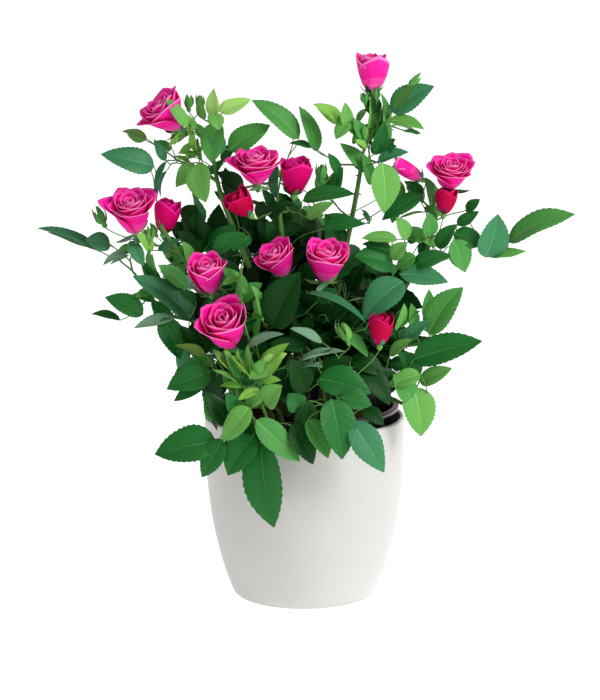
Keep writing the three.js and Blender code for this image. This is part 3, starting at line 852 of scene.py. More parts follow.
# %% Flowers and buds
SHOWN_FLOWERS = {  # across, down, width, height, depth, way it faces, how open, colour
    "outer_left": (166, 113, 54, 39, -6, (-0.60, -0.26, 0.75), 0.85, "pink"),
    "left_open": (132, 210, 52, 46, -16, (-0.12, -0.42, 0.88), 1.00, "pink"),
    "left_bud": (166, 216, 29, 35, -8, (0.15, -0.10, 1.00), 0.10, "deep"),
    "crown_open": (256, 165, 54, 37, -14, (-0.05, -0.32, 0.93), 0.90, "pink"),
    "crown_half": (295, 176, 37, 37, -12, (0.05, -0.15, 1.00), 0.30, "deep"),
    "crown_bud": (240, 204, 31, 29, -24, (-0.62, -0.25, 0.70), 0.10, "crimson"),
    "centre_left": (208, 273, 41, 39, -40, (-0.12, -0.38, 0.90), 0.55, "pink"),
    "centre_middle": (277, 259, 46, 35, -30, (-0.42, -0.34, 0.82), 0.75, "pink"),
    "centre_right": (326, 259, 48, 43, -36, (0.05, -0.40, 0.90), 0.75, "pink"),
    "centre_low": (224, 321, 54, 50, -60, (-0.16, -0.62, 0.76), 0.60, "pink"),
    "right_bud": (380, 329, 27, 32, -52, (0.02, -0.12, 1.00), 0.12, "crimson"),
    "top": (372, 73, 34, 39, 0, (0.00, -0.05, 1.00), 0.28, "pink"),
    "right_open": (451, 170, 50, 37, -10, (0.06, -0.46, 0.88), 1.00, "pink"),
    "right_half": (408, 171, 15, 33, -6, (-0.84, -0.15, 0.54), 0.25, "pink"),
    "right_small": (445, 201, 24, 26, -14, (0.10, -0.05, 1.00), 0.05, "crimson"),
}
HIDDEN_FLOWERS = {  # place in the world, width in millimetres, way it faces, how open, colour
    "back_high": ((8, 88, 212), 30, (0.10, 0.65, 0.75), 0.90, "pink"),
    "back_high_left": ((-22, 90, 199), 24, (-0.20, 0.60, 0.80), 0.60, "pink"),
    "back_left": ((-58, 90, 184), 29, (-0.50, 0.60, 0.65), 0.95, "pink"),
    "back_left_bud": ((-38, 98, 164), 18, (-0.20, 0.50, 0.85), 0.15, "crimson"),
    "back_right": ((54, 90, 178), 31, (0.50, 0.60, 0.65), 0.95, "pink"),
    "back_right_bud": ((30, 96, 190), 17, (0.20, 0.40, 0.90), 0.20, "deep"),
    "back_middle": ((8, 94, 160), 30, (0.05, 0.90, 0.45), 1.00, "pink"),
    "side_left": ((-58, 58, 168), 26, (-0.80, 0.30, 0.50), 0.80, "pink"),
    "side_right": ((50, 60, 157), 26, (0.80, 0.30, 0.50), 0.85, "pink"),
}


def flower_rows():
    """Every flower's middle, foot, width and height in millimetres, facing way, opening and colour. What
    shows of the height is the cup's own height, foreshortened, plus half the rim's width, foreshortened
    too, so the middle of what shows lies above the middle of the cup by a quarter of that width."""
    shown, hidden = list(SHOWN_FLOWERS.values()), list(HIDDEN_FLOWERS.values())
    across, down, width, shown_height, depth = first_columns(shown, 5)
    places, hidden_widths, *rest = zip(*hidden)
    way, opening, colour = (first + last for first, last in zip(list(zip(*shown))[5:], rest))
    middle = np.concatenate([seen(across, down, depth), places])
    way, opening = unit(np.array(way, float)), np.array(opening)
    count = len(shown)
    tilt = np.arcsin(np.clip(way[:count] @ TO_CAMERA, 0, 1))
    height = (shown_height - 0.5 * width * np.sin(tilt)) / np.cos(tilt) / SCALE
    width = np.concatenate([width / SCALE, hidden_widths])
    height = np.concatenate([height, width[count:] * (1.2 - 0.5 * opening[count:])])
    start = middle - offsets(way, 0.5 * height)
    leaning = unit(way - (way @ TO_CAMERA)[:, None] * TO_CAMERA)[:count]
    start[:count] -= offsets(leaning, 0.25 * width[:count] * np.sin(tilt))
    return middle, start, width, height, way, opening, colour


(
    flower_middle, flower_start, flower_width, flower_height, flower_way, flower_opening, flower_colour,
) = flower_rows()
print("flowers:", len(flower_middle))

# %% [markdown]
# ## Petals
# A rose petal is a sheet that starts narrow, cups round the heart and rolls its rim outwards. Seen from the
# side its outline is a curve whose slope changes: steeply out at the foot, nearly upright in the middle and
# over again at the rim. So the surface comes from a slope: the radius is the sum of its sine along the
# petal, and the height the sum of its cosine. Turning that outline round the flower's axis gives the cup,
# and a radius that grows slightly from one edge to the other lets each petal overlap the next, which is
# what draws the spiral. Inner petals wrap right round the heart, outer ones lean back.

# %% Petal finishes
PETAL_ROWS = np.array([0, 0.15, 0.32, 0.50, 0.67, 0.81, 0.93, 1.0])  # closer together at the rim
# The last colour of each look, at the rim, is lighter: partly the petals' own paler edge and partly a painted
# highlight where the rims catch the light.
PETAL_LOOKS = {  # colours from foot to rim, at the places named in LOOK_STOPS
    "pink outside": ((248, 184, 214), (242, 92, 174), (238, 26, 148), (244, 40, 160), (254, 156, 214)),
    "pink inside": ((180, 0, 92), (212, 2, 114), (244, 4, 144), (250, 14, 156), (253, 84, 182)),
    "deep": ((150, 0, 84), (178, 0, 80), (190, 0, 90), (204, 2, 106), (228, 40, 146)),
    "crimson": ((176, 0, 98), (186, 0, 86), (174, 0, 58), (178, 0, 60), (212, 20, 104)),
}
LOOK_STOPS = (0.0, 0.22, 0.55, 0.90, 1.0)


def petal_finish(name, colour):
    finish = Finish(name, {"Base Color": colour, "IOR": 1.38, "Specular IOR Level": 0.1})
    ribs = (finish.node("ShaderNodeSeparateXYZ", None, {0: finish.place("UV")}) * 150).through("SINE")
    grain = finish.noise(1400)
    finish.bump(ribs * 0.3 + grain, 0.00012)
    finish.wire("Roughness", 0.45 + 0.2 * grain)
    return finish.material


petal_finishes, look_first = [], {}
for look, colours in PETAL_LOOKS.items():
    look_first[look] = len(petal_finishes)
    light = np.array([paint(*c) for c in colours])
    for band, middle in enumerate((PETAL_ROWS[1:] + PETAL_ROWS[:-1]) / 2):
        colour = [float(np.interp(middle, LOOK_STOPS, light[:, i])) for i in range(4)]
        petal_finishes.append(petal_finish(f"petal {look} {band + 1}", colour))
print("petal finishes:", len(petal_finishes))

# %% The petal surface
PETAL_COLUMNS = 9
PETAL_THICKNESS = 0.34
PETAL_POINT = 0.09  # how far a petal's rim is drawn out in its middle
PETAL_COUNT = (8, 12)  # those of a tight bud, and how many more a full rosette has
FOOT_SLOPE, RIM_SLOPE = (50, -8), (-28, 80)  # degrees past the body's own: a bud's, and more when open
HEART_LEAN, HEART_CURL = math.radians(1), math.radians(-12)  # the innermost petals lean out and roll in
MOST_WRAP = 2.5  # radians that a wide petal reaches round the axis at most, either way
GOLDEN_TURN = math.radians(137.5)
SIDES_OF = {"pink": ("pink outside", "pink inside"), "deep": ("deep",) * 2, "crimson": ("crimson",) * 2}


def slope(t, foot, body, rim):
    """The angle from the flower's axis along a petal: foot at first, body soon, rim past the middle."""
    late = np.clip((t - 0.60) / 0.40, 0, 1) ** 1.4
    return body + (foot - body) * (1 - t) ** 3 + (rim - body) * late


def outer_lean(width, height, foot_more, rim_more):
    """The lean at which a cup of this height is as wide as the flower: the widest radius for a row of
    leans is height times the running sum of sines over the whole sum of cosines."""
    steps = 40
    leans = np.radians(np.linspace(-12, 62, 75))[:, None]
    angle = slope((np.arange(steps) + 0.5) / steps, leans + foot_more, leans, leans + rim_more)
    length = height / np.cos(angle).mean(1)
    widest = 1.2 + (length[:, None] * np.cumsum(np.sin(angle), 1) / steps).max(1)
    return np.interp(width / 2, widest, leans[:, 0]), np.interp(width / 2, widest, length)


def petal_plan(width, height, opening, rng):
    """Sizes and slopes of one flower's petals, from the heart outwards: turn, length, half width, foot
    radius, and the slopes at foot, body and rim."""
    foot_more, rim_more = (math.radians(bud + more * opening) for bud, more in (FOOT_SLOPE, RIM_SLOPE))
    lean, reach = outer_lean(width, height, foot_more, rim_more)
    count = PETAL_COUNT[0] + round(PETAL_COUNT[1] * opening)
    share = np.arange(count) / (count - 1)
    body = HEART_LEAN + (lean - HEART_LEAN) * share**1.1 * rng.uniform(0.92, 1.08, count)
    curl = (HEART_CURL + (rim_more - HEART_CURL) * share**0.9) * rng.uniform(0.85, 1.15, count)
    return np.stack([
        np.arange(count) * GOLDEN_TURN + rng.uniform(-0.15, 0.15, count),
        reach * (0.86 - 0.06 * opening + (0.14 + 0.06 * opening) * share) * rng.uniform(0.96, 1.04, count),
        (0.30 + 0.14 * share) * (reach + 0.35 * width) * rng.uniform(0.95, 1.08, count),
        0.5 + 0.7 * share,
        body + foot_more * (0.35 + 0.65 * share),
        body,
        body + curl,
    ], -1)


def petals(start, way, plan, phase):
    """Closed thin petals of one flower: a point at azimuth turn + half width * u / radius, at the radius
    and height that the slope adds up to, then set apart by half the thickness on either side."""
    u = np.linspace(-1, 1, PETAL_COLUMNS)
    turn, length, half, foot_radius, foot, body, rim = (x[:, None, None] for x in plan.T)
    rounded = 1 - 0.22 * np.abs(u) ** 2.1 + PETAL_POINT * np.exp(-((u / 0.30) ** 2))
    along = (PETAL_ROWS[:, None] * rounded)[None]
    steps = (np.arange(12) + 0.5) / 12
    angle = slope(along[..., None] * steps, foot[..., None], body[..., None], rim[..., None])
    radius = foot_radius + length * along * np.sin(angle).mean(-1)
    height = length * along * np.cos(angle).mean(-1)
    spread = half * (0.34 + 0.66 * np.sin(0.5 * np.pi * np.clip(along / 0.60, 0, 1)))
    azimuth = turn + MOST_WRAP * np.tanh(spread * u / np.maximum(radius, 1.0) / MOST_WRAP)
    opened = np.clip((rim - body) / 1.3, 0, 1)
    flap = 0.24 * half * np.abs(u) ** 3 * along**3 * opened
    waves = 0.035 * length * along**3 * np.sin(1.3 * np.pi * u + phase) * (0.3 + opened)
    radius = radius * (1 + 0.08 * u) + flap + waves
    first, second = two_across(way)
    sheet = start[:, None, None] + offsets(way, height - 0.5 * flap)
    sheet = sheet + offsets(first, radius * np.cos(azimuth)) + offsets(second, radius * np.sin(azimuth))
    out = unit(np.cross(np.gradient(sheet, axis=2), np.gradient(sheet, axis=1))) * PETAL_THICKNESS / 2
    return np.concatenate([sheet + out, (sheet - out)[:, :, -2:0:-1]], 2).reshape(len(plan), -1, 3)


def petal_numbers(colour):
    """The finish of each face of one petal: its outside, its inside, then the two closed ends."""
    bands = np.arange(len(PETAL_ROWS) - 1)
    outside, inside = (look_first[look] + bands for look in SIDES_OF[colour])
    half = PETAL_COLUMNS - 1
    wall = np.concatenate([np.repeat(outside[:, None], half, 1), np.repeat(inside[:, None], half, 1)], 1)
    caps = np.repeat([outside[-1], outside[0]], PETAL_COLUMNS - 3)
    return np.concatenate([wall.ravel(), caps]), np.repeat([outside[-1], outside[0]], 2)


# %% Blossom
petal_rng = np.random.default_rng(23)
blossom = Heap(petal_finishes)
petal_corners = blade_corners(len(PETAL_ROWS), PETAL_COLUMNS)
petal_uvs = blade_uvs(np.linspace(-1, 1, PETAL_COLUMNS), len(PETAL_ROWS))
for start, way, width, height, opening, colour in zip(
    flower_start, flower_way, flower_width, flower_height, flower_opening, flower_colour
):
    plan = petal_plan(width, height, opening, petal_rng)
    phase = petal_rng.uniform(0, ROUND, (len(plan), 1, 1))
    blossom.add(petals(start[None], way[None], plan, phase), petal_uvs, petal_corners, *petal_numbers(colour))
blossom.piece("blossom")

# %% [markdown]
# ## Hips, sepals and green buds
# Under each flower sits a green swelling, the hip, with five narrow sepals. They hug a bud and fold back
# under an open flower. A green bud is the same thing without petals: five sepals closed over a small core.
# A hip is a short tube with a swelling radius, and a sepal is a narrow blade without teeth.

# %% Green parts of the flowers
GREEN_BUDS = {  # foot across, foot down, tip across, tip down, width, depth, tone
    "top_left_pair_a": (189, 112, 188, 97, 8, -2, "mid"),
    "top_left_pair_b": (200, 112, 200, 97, 8, 2, "mid"),
    "top_left_low_a": (177, 142, 175, 131, 6, -4, "young"),
    "top_left_low_b": (190, 135, 189, 124, 6, -6, "young"),
    "left_upright": (149, 245, 150, 232, 7, -14, "fresh"),
    "left_outer": (106, 228, 98, 212, 9, -10, "mid"),
    "top_right_stalk": (407, 88, 418, 77, 7, -4, "fresh"),
    "top_right_knob_a": (366, 106, 364, 95, 7, -4, "mid"),
    "top_right_knob_b": (377, 102, 376, 91, 6, -6, "mid"),
    "top_right_low": (365, 139, 365, 128, 6, -6, "fresh"),
    "crown_tiny": (321, 184, 321, 168, 10, -8, "mid"),
    "centre_long": (257, 314, 257, 300, 8, -50, "fresh"),
    "right_pair": (350, 346, 342, 326, 9, -52, "fresh"),
    "flank_left_tiny": (186, 346, 184, 334, 7, -36, "fresh"),
}
GREEN_BUDS_BEHIND = {  # foot in the world, length, width, way it points, tone
    "back_top_a": ((56, 66, 258), 10, 5, (0.2, 0.3, 1.0), "mid"),
    "back_top_b": ((-14, 72, 262), 9, 5, (-0.2, 0.4, 1.0), "fresh"),
    "back_left_a": ((-98, 62, 226), 9, 5, (-0.5, 0.3, 0.8), "fresh"),
    "back_right_a": ((84, 60, 236), 9, 5, (0.3, 0.2, 1.0), "fresh"),
    "back_low_a": ((-30, 100, 150), 9, 5, (-0.2, 0.7, 0.6), "mid"),
}
BUD_PROFILE = np.array([0.25, 0.62, 0.55, 0.85, 1.0, 0.95, 0.72, 0.40, 0.10])
HIP_PROFILE = np.array([0.35, 0.55, 0.95, 1.0, 0.85, 0.95])
SEPALS = 5
HUGGING = 0.10  # radians from a bud's own way to its sepals
HIP_LENGTH, HIP_RADIUS = (2.5, 0.12), (1.5, 0.035)  # millimetres, and more for each of the flower's width
SEPAL_LENGTH, SEPAL_WIDTH = (5.0, 0.20), (2.6, 0.05)
HIP_SINKS_IN = 1.2  # how far a hip reaches into the flower


def swelling(start, end, radius, profile):
    """A straight tube whose radius follows a profile."""
    steps = np.linspace(0, 1, len(profile))
    return start[:, None] + (end - start)[:, None] * steps[:, None], np.outer(radius, profile)


def sepals_round(start, way, length, width, lean, rng):
    """Narrow blades round each start. lean is the angle from the flower's way: 0 hugs, 2 folds back."""
    first, second = two_across(way)
    turn = 2 * np.pi * np.arange(SEPALS)[None] / SEPALS + rng.uniform(0, ROUND, len(start))[:, None]
    out = offsets(first, np.cos(turn)) + offsets(second, np.sin(turn))
    lean = lean[:, None] * rng.uniform(0.8, 1.2, turn.shape)
    ahead = offsets(way, np.cos(lean)) + offsets(out, np.sin(lean))
    face = offsets(out, np.cos(lean)) - offsets(way, np.sin(lean))
    foot = start[:, None] + out * (0.32 * width)[:, None, None]
    tip = foot + offsets(ahead, length[:, None] * rng.uniform(0.85, 1.15, turn.shape))
    return foot.reshape(-1, 3), tip.reshape(-1, 3), face.reshape(-1, 3), np.repeat(width, SEPALS)


def for_flowers(size):
    return size[0] + size[1] * flower_width


green_rng = np.random.default_rng(37)
calyces = Heap(leaf_finishes)
shown_buds, hidden_buds = list(GREEN_BUDS.values()), list(GREEN_BUDS_BEHIND.values())
across, down, tip_across, tip_down, width, depth = first_columns(shown_buds, 6)
hidden_foot, hidden_length, hidden_width, hidden_way = map(np.array, list(zip(*hidden_buds))[:4])
bud_foot = np.concatenate([seen(across, down, depth), hidden_foot])
bud_tip = np.concatenate([
    seen(tip_across, tip_down, depth), hidden_foot + offsets(unit(hidden_way), hidden_length),
])
bud_width = np.concatenate([width / SCALE, hidden_width])
bud_tone = tone_numbers(shown_buds + hidden_buds)
bud_reach = bud_tip - bud_foot
bud_way, bud_length = unit(bud_reach), np.linalg.norm(bud_reach, axis=1)
bud_green = len(LEAF_SIDES) * bud_tone
add_tubes(calyces, *swelling(bud_foot, bud_tip, 0.5 * bud_width, BUD_PROFILE), 8, bud_green)
sepals = sepals_round(
    bud_foot + 0.25 * bud_reach, bud_way, bud_length, 0.75 * bud_width, np.full(len(bud_foot), HUGGING),
    green_rng,
)
bends = bends_for(green_rng, len(sepals[0]), arch=0.16, fold=-0.2, twist=0.1)
add_blades(calyces, "bud sepal", *sepals, np.repeat(bud_tone, SEPALS), bends)

hip_end = flower_start + flower_way * HIP_SINKS_IN
hip_start = hip_end - offsets(flower_way, for_flowers(HIP_LENGTH))
hip_green = len(LEAF_SIDES) * TONE_NAMES.index("fresh")
add_tubes(calyces, *swelling(hip_start, hip_end, for_flowers(HIP_RADIUS), HIP_PROFILE), 10, hip_green)
sepals = sepals_round(
    flower_start, flower_way, for_flowers(SEPAL_LENGTH), for_flowers(SEPAL_WIDTH),
    0.55 + flower_opening, green_rng,
)
bends = bends_for(green_rng, len(sepals[0]), arch=0.12, fold=-0.15, twist=0.4)
sepal_tones = green_rng.choice([TONE_NAMES.index(x) for x in ("deep", "blue", "mid")], len(sepals[0]))
add_blades(calyces, "hip sepal", *sepals, sepal_tones, bends)
calyces.piece("hips_sepals_and_green_buds")

# %% [markdown]
# ## The leaves that fill each mass
# Inside the bush, and all round its sides and back, nobody could place each leaf by hand. A seeded rule
# does it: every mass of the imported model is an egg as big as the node's box, and whole leaves are spread
# over and inside it. A rose leaf is five leaflets on one stalk, two pairs and a bigger one at the end.
# Each points outwards from the plant's middle and a little up, with its face to the sky.
# A leaf is dropped where it would hide a flower from the front or stand in the way of the open sky
# between the sprays.

# %% The rule for whole leaves
FILL = {  # how many leaves, leaflet length, how deep into the mass they start, tones
    "leaves_top_left": (6, (13, 19), (0.3, 0.8), ("mid", "fresh", "young")),
    "leaves_left": (4, (12, 17), (0.2, 0.7), ("dark", "blue", "mid")),
    "leaves_flank_left": (18, (18, 25), (0.2, 0.8), ("dark", "blue", "mid")),
    "leaves_top_right": (5, (11, 16), (0.2, 0.7), ("mid", "blue", "fresh")),
    "leaves_right": (10, (14, 20), (0.2, 0.8), ("dark", "mid", "fresh")),
    "leaves_far_right": (1, (11, 14), (0.1, 0.5), ("mid", "fresh")),
    "leaves_flank_right": (13, (17, 25), (0.2, 0.8), ("dark", "mid", "fresh")),
    # the crown and the cores deal out the near-black shade tone, which is painted shade, and the deep tone,
    # there partly painted shade
    "leaves_crown_top": (22, (19, 27), (0.1, 0.8), ("dark", "deep", "shade", "mid")),
    "leaves_back_top": (34, (20, 28), (0.0, 0.95), ("dark", "mid", "deep")),
    "leaves_back_left": (34, (20, 29), (0.2, 0.95), ("dark", "mid", "blue", "dark")),
    "leaves_back_right": (34, (20, 29), (0.2, 0.95), ("dark", "mid", "blue", "dark")),
    "leaves_apron_left": (34, (19, 27), (0.2, 1.0), ("deep", "dark", "deep", "mid")),
    "leaves_apron_right": (34, (19, 27), (0.2, 1.0), ("deep", "dark", "deep", "mid")),
    "leaves_side_right": (4, (15, 19), (0.1, 0.7), ("mid", "fresh")),
    "leaves_back_low": (22, (19, 27), (0.2, 0.95), ("dark", "mid", "fresh")),
    # the cores: the shade tone is painted shade, and the deep tone is partly painted shade
    "leaves_core_left": (62, (23, 33), (0.2, 0.95), ("deep", "shade", "deep", "dark", "shade")),
    "leaves_core_right": (62, (23, 33), (0.2, 0.95), ("deep", "shade", "deep", "dark", "shade")),
    "leaves_core_back": (44, (22, 32), (0.2, 0.9), ("deep", "shade", "shade")),
}
PLANT_MIDDLE = np.array([0.0, 0.0, 150.0])
LEAFLET_PLACES = np.array([0.46, 0.46, 0.76, 0.76, 1.0])  # along the leaf's stalk
LEAFLET_SIDES = np.array([-1, 1, -1, 1, 0])
LEAFLET_SIZES = np.array([0.72, 0.72, 0.9, 0.9, 1.0])
LEAFLET_SWING = math.radians(58)
TWIG_STATIONS = 7


def spread_leaves(mass, rng):
    """Feet, ways and faces of a mass's leaves. The ways go round the egg by the golden angle, so that
    they are spread evenly, with a random nudge."""
    count, (small, large), (inner, outer), tones = FILL[mass]
    low, high = (np.array(corner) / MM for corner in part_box(mass))
    middle, half = (low + high) / 2, (high - low) / 2
    height = 1 - 2 * (np.arange(count) + 0.5) / count
    turn = GOLDEN_TURN * np.arange(count) + rng.uniform(0, ROUND)
    flat = np.sqrt(1 - height**2)
    way = np.stack([flat * np.cos(turn), flat * np.sin(turn), height], -1)
    way = unit(way + 0.35 * rng.normal(size=(count, 3)))
    length = rng.uniform(small, large, count)
    end = middle + way * half * rng.uniform(inner, outer, (count, 1))
    outward = unit(end - PLANT_MIDDLE)
    way = unit(0.9 * way + 0.8 * outward + [0, 0, 0.25] + 0.25 * rng.normal(size=(count, 3)))
    foot = end - offsets(way, 1.2 * length)
    sky = unit(0.75 * outward + [0, 0, 0.8] + 0.35 * rng.normal(size=(count, 3)))
    tone = rng.choice([TONE_NAMES.index(t) for t in tones], count)
    return foot, way, square_to(way, sky), length, tone


def leaf_parts(foot, way, sky, length, rng):
    """Each leaf's stalk as a path, and its five leaflets' feet, tips and faces."""
    count = len(foot)
    five = (count, len(LEAFLET_PLACES))
    side = np.cross(way, sky)
    droop = rng.uniform(0.05, 0.22, count)[:, None]
    reach = 1.25 * length[:, None]

    def on_stalk(share):
        return foot[:, None] + offsets(way, reach * share) - offsets(sky, droop * reach * share**2)

    swing = LEAFLET_SIDES * LEAFLET_SWING * rng.uniform(0.85, 1.15, five)
    ahead = offsets(way, np.cos(swing)) + offsets(side, np.sin(swing))
    ahead = unit(ahead - offsets(sky, 0.25 * rng.random(five)))
    size = length[:, None] * LEAFLET_SIZES * rng.uniform(0.92, 1.08, five)
    base = on_stalk(LEAFLET_PLACES) + offsets(ahead, 0.06 * size)
    face = unit(sky[:, None] + 0.22 * rng.normal(size=(*five, 3)))
    return on_stalk(np.linspace(0, 1, TWIG_STATIONS)), base, base + offsets(ahead, size), face, size

print("masses to fill:", len(FILL))

# %% Where a filling leaf may stand
PAST_THE_BOX = 9.0  # how far a leaflet may reach past the part's own box
OUTLINES = {  # corners of what the foliage fills in the picture, as (across, down)
    "crown": (
        (112, 318), (100, 296), (128, 262), (150, 236), (190, 204), (208, 213), (220, 203), (245, 186),
        (300, 160), (328, 166), (334, 196), (322, 208), (352, 226), (374, 242), (398, 226), (406, 212),
        (440, 208), (482, 236), (468, 258), (448, 268), (430, 285), (404, 286), (402, 299), (430, 302),
        (464, 286), (456, 318), (472, 338), (452, 358), (446, 384), (420, 402), (404, 398), (374, 400),
        (372, 436), (388, 470), (330, 462), (300, 468), (270, 524), (232, 464), (166, 446), (196, 420),
        (168, 378), (150, 330),
    ),
    "top_left": (
        (102, 156), (124, 128), (160, 96), (200, 86), (254, 94), (272, 126), (232, 160), (204, 206),
        (176, 192), (150, 196),
    ),
    "top_right": (
        (312, 102), (345, 96), (375, 92), (432, 80), (424, 130), (412, 176), (398, 196), (372, 178),
        (352, 190), (334, 140),
    ),
    "left": ((60, 226), (104, 214), (150, 230), (170, 280), (100, 270)),
}


def inside(across, down, corners):
    """True where a point lies inside the outline: a level ray from it crosses an odd number of sides."""
    corners = np.array(corners, float)
    ahead = np.roll(corners, -1, 0)
    (x0, y0), (x1, y1) = corners.T, ahead.T
    across, down = across[..., None], down[..., None]
    crosses = (y0 > down) != (y1 > down)
    meets = x0 + (down - y0) * (x1 - x0) / np.where(y1 == y0, 1, y1 - y0)
    return (crosses & (across < meets)).sum(-1) % 2 == 1


def within_outline(tip):
    """True for a leaf whose leaflets all end inside one of the outlines and near the part's own box."""
    across, down, _ = shown_at(tip)
    fine = np.any([inside(across, down, corners) for corners in OUTLINES.values()], 0)
    low, high = (np.array(corner) / MM for corner in cad_box)
    fine &= ((tip > low - PAST_THE_BOX) & (tip < high + PAST_THE_BOX)).all(-1)
    return fine.all(1)


ALONG_A_LEAFLET = np.array([0.1, 0.35, 0.6, 0.85])
BEHIND_A_FLOWER = 8.0  # a leaflet this far behind a flower's middle can't hide it
WAY_OUT = 40.0  # how far in front of a flower round the back nothing may stand


def clear_of_flowers(base, tip):
    """True for a leaf none of whose leaflets hides a flower: one of the front's from the front, one of the
    back's from straight ahead of it."""
    across, down, distance = shown_at((base + tip) / 2)
    reach = np.linalg.norm(tip - base, axis=-1) * 0.5 * SCALE
    fine = np.ones(len(base), bool)
    count = len(SHOWN_FLOWERS)
    for at, width in zip(flower_middle[:count], flower_width[:count]):
        at_across, at_down, at_distance = shown_at(at)
        apart = np.hypot(across - at_across, down - at_down)
        hides = (apart < 0.5 * width * SCALE + 0.55 * reach) & (distance < at_distance + BEHIND_A_FLOWER)
        fine &= ~hides.any(1)
    spots = base[..., None, :] + (tip - base)[..., None, :] * ALONG_A_LEAFLET[:, None]
    for at, width, way in zip(flower_middle[count:], flower_width[count:], flower_way[count:]):
        ahead = (spots - at) @ way
        aside = np.linalg.norm(spots - at - ahead[..., None] * way, axis=-1)
        hides = (ahead > -0.4 * width) & (ahead < WAY_OUT) & (aside < 0.62 * width)
        fine &= ~hides.any((1, 2))
    return fine


CLEARANCE = 5.0  # from a filling leaf to a leaflet listed one by one
OVERLAP = 10.0  # in the picture, between the midribs of a filling leaflet and of one behind it
front_spots = np.concatenate([
    (foot[:, None] + (tip - foot)[:, None] * ALONG_A_LEAFLET[:, None]).reshape(-1, 3)
    for foot, tip, *rest in front_leaflets.values()
])
front_across, front_down, front_distance = shown_at(front_spots)


def clear_of_front_leaflets(base, tip):
    """True for a leaf that comes through none of the leaflets listed one by one and hides none of them."""
    spots = base[:, :, None] + (tip - base)[:, :, None] * ALONG_A_LEAFLET[:, None]
    apart = np.linalg.norm(spots[..., None, :] - front_spots, axis=-1)
    across, down, distance = shown_at(spots)
    beside = np.hypot(across[..., None] - front_across, down[..., None] - front_down)
    hides = (beside < OVERLAP) & (distance[..., None] < front_distance)
    return ((apart > CLEARANCE) & ~hides).all((1, 2, 3))


print("leaflet spots to keep clear of:", len(front_spots))

# %% Grow the filling leaves
POT_REACH = 68.0  # leaflets stand clear of the pot's wall by this radius, or else above its rim
fill_rng = np.random.default_rng(5)
filling = {}
for mass in FILL:
    foot, way, sky, length, tone = spread_leaves(mass, fill_rng)
    path, base, tip, face, size = leaf_parts(foot, way, sky, length, fill_rng)
    kept = clear_of_flowers(base, tip) & within_outline(tip) & clear_of_front_leaflets(base, tip)
    beside_pot = (np.hypot(tip[..., 0], tip[..., 1]) > POT_REACH).all(1)
    kept &= beside_pot | (tip[..., 2] > GROWER_LIP + 2).all(1)
    filling[mass] = tuple(x[kept] for x in (path, base, tip, face, size, tone, way))
print("filling leaves:", sum(len(rows[0]) for rows in filling.values()))

# %% [markdown]
# ## Leaves, one piece for each mass
# The leaflets listed one by one get the finer blade, with teeth on ten stations a side. The filling leaves
# get the plain one. Both are joined into one piece that stands for the mass's node.

# %% Make the leaf pieces
leaf_rng = np.random.default_rng(41)
YOUNG = ("leaves_top_left", "leaves_top_right", "leaves_side_right")
for mass in FILL:
    heap = Heap(leaf_finishes)
    if mass in front_leaflets:
        bends = bends_for(leaf_rng, len(front_leaflets[mass][0]), arch=0.055, fold=0.20)
        add_blades(heap, "fine", *front_leaflets[mass], bends)
    if mass in behind_leaflets:
        bends = bends_for(leaf_rng, len(behind_leaflets[mass][0]))
        add_blades(heap, "plain", *behind_leaflets[mass], bends)
    path, base, tip, face, size, tone, way = filling[mass]
    bends = bends_for(leaf_rng, size.size)
    width = size.ravel() * leaf_rng.uniform(0.58, 0.72, size.size)
    flat = [x.reshape(-1, 3) for x in (base, tip, face)]
    add_blades(heap, "plain", *flat, width, np.repeat(tone, len(LEAFLET_PLACES)), bends)
    slot = "young_leaves" if mass in YOUNG else "leaves"
    heap.piece(f"{mass}_grown", replaces=[mass])

# %% [markdown]
# ## Twigs by a branching rule
# Each flower, bud and leaf needs a way back to a limb. First every one of them picks the spot on a limb that
# is near and lies below it. Those that picked the same stretch share one shoot. The shoot runs towards the
# middle of its group, forks where the group splits in two along its longest direction, and so on until each
# branch has one end left. A branch is as thick as the number of ends that it feeds, to a power.

# %% Where the twigs have to reach
targets, arrivals = [], []
for mass in FILL:
    for placed in (front_leaflets, behind_leaflets):
        if mass in placed:
            foot, tip, *rest = placed[mass]
            targets.append(foot)
            arrivals.append(unit(tip - foot))
    path, *rest, way = filling[mass]
    targets.append(path[:, 0])
    arrivals.append(way)
targets = np.concatenate([*targets, hip_start, bud_foot])
arrivals = np.concatenate([*arrivals, flower_way, bud_way])
print("ends to reach:", len(targets))

# %% The branching rule
SPOTS = 25  # places along a limb where a shoot may start
GROUP_STRETCH = 4  # neighbouring spots that share a shoot
FORK_AT = 0.46  # how far a shoot runs towards its group's middle before it forks
HANDLE = 0.33  # how far the handles of a shoot's curve reach, over the shoot's length
CLIMB = 0.4  # the least slope at which a shoot likes to climb
TOO_HIGH_COSTS = 1.5  # a spot that lies too high for that slope costs this much more for each millimetre

spots = np.stack([even_steps(handles, SPOTS) for handles in LIMBS.values()])


def nearest_spots(points):
    """The limb and the spot on it that costs least: the distance, plus what the spot's height costs."""
    offset = points[:, None] - spots.reshape(1, -1, 3)
    too_high = np.maximum(0, CLIMB * np.linalg.norm(offset[..., :2], axis=-1) - offset[..., 2])
    best = (np.linalg.norm(offset, axis=-1) + TOO_HIGH_COSTS * too_high).argmin(1)
    return best // SPOTS, best % SPOTS


def shoot(start, heading, end, arriving):
    """Handles of a curve that leaves start along heading and reaches its end along arriving."""
    reach = HANDLE * np.linalg.norm(end - start)
    return start, start + heading * reach, end - arriving * reach, end


twigs = []  # handles, and the number of ends that the twig feeds


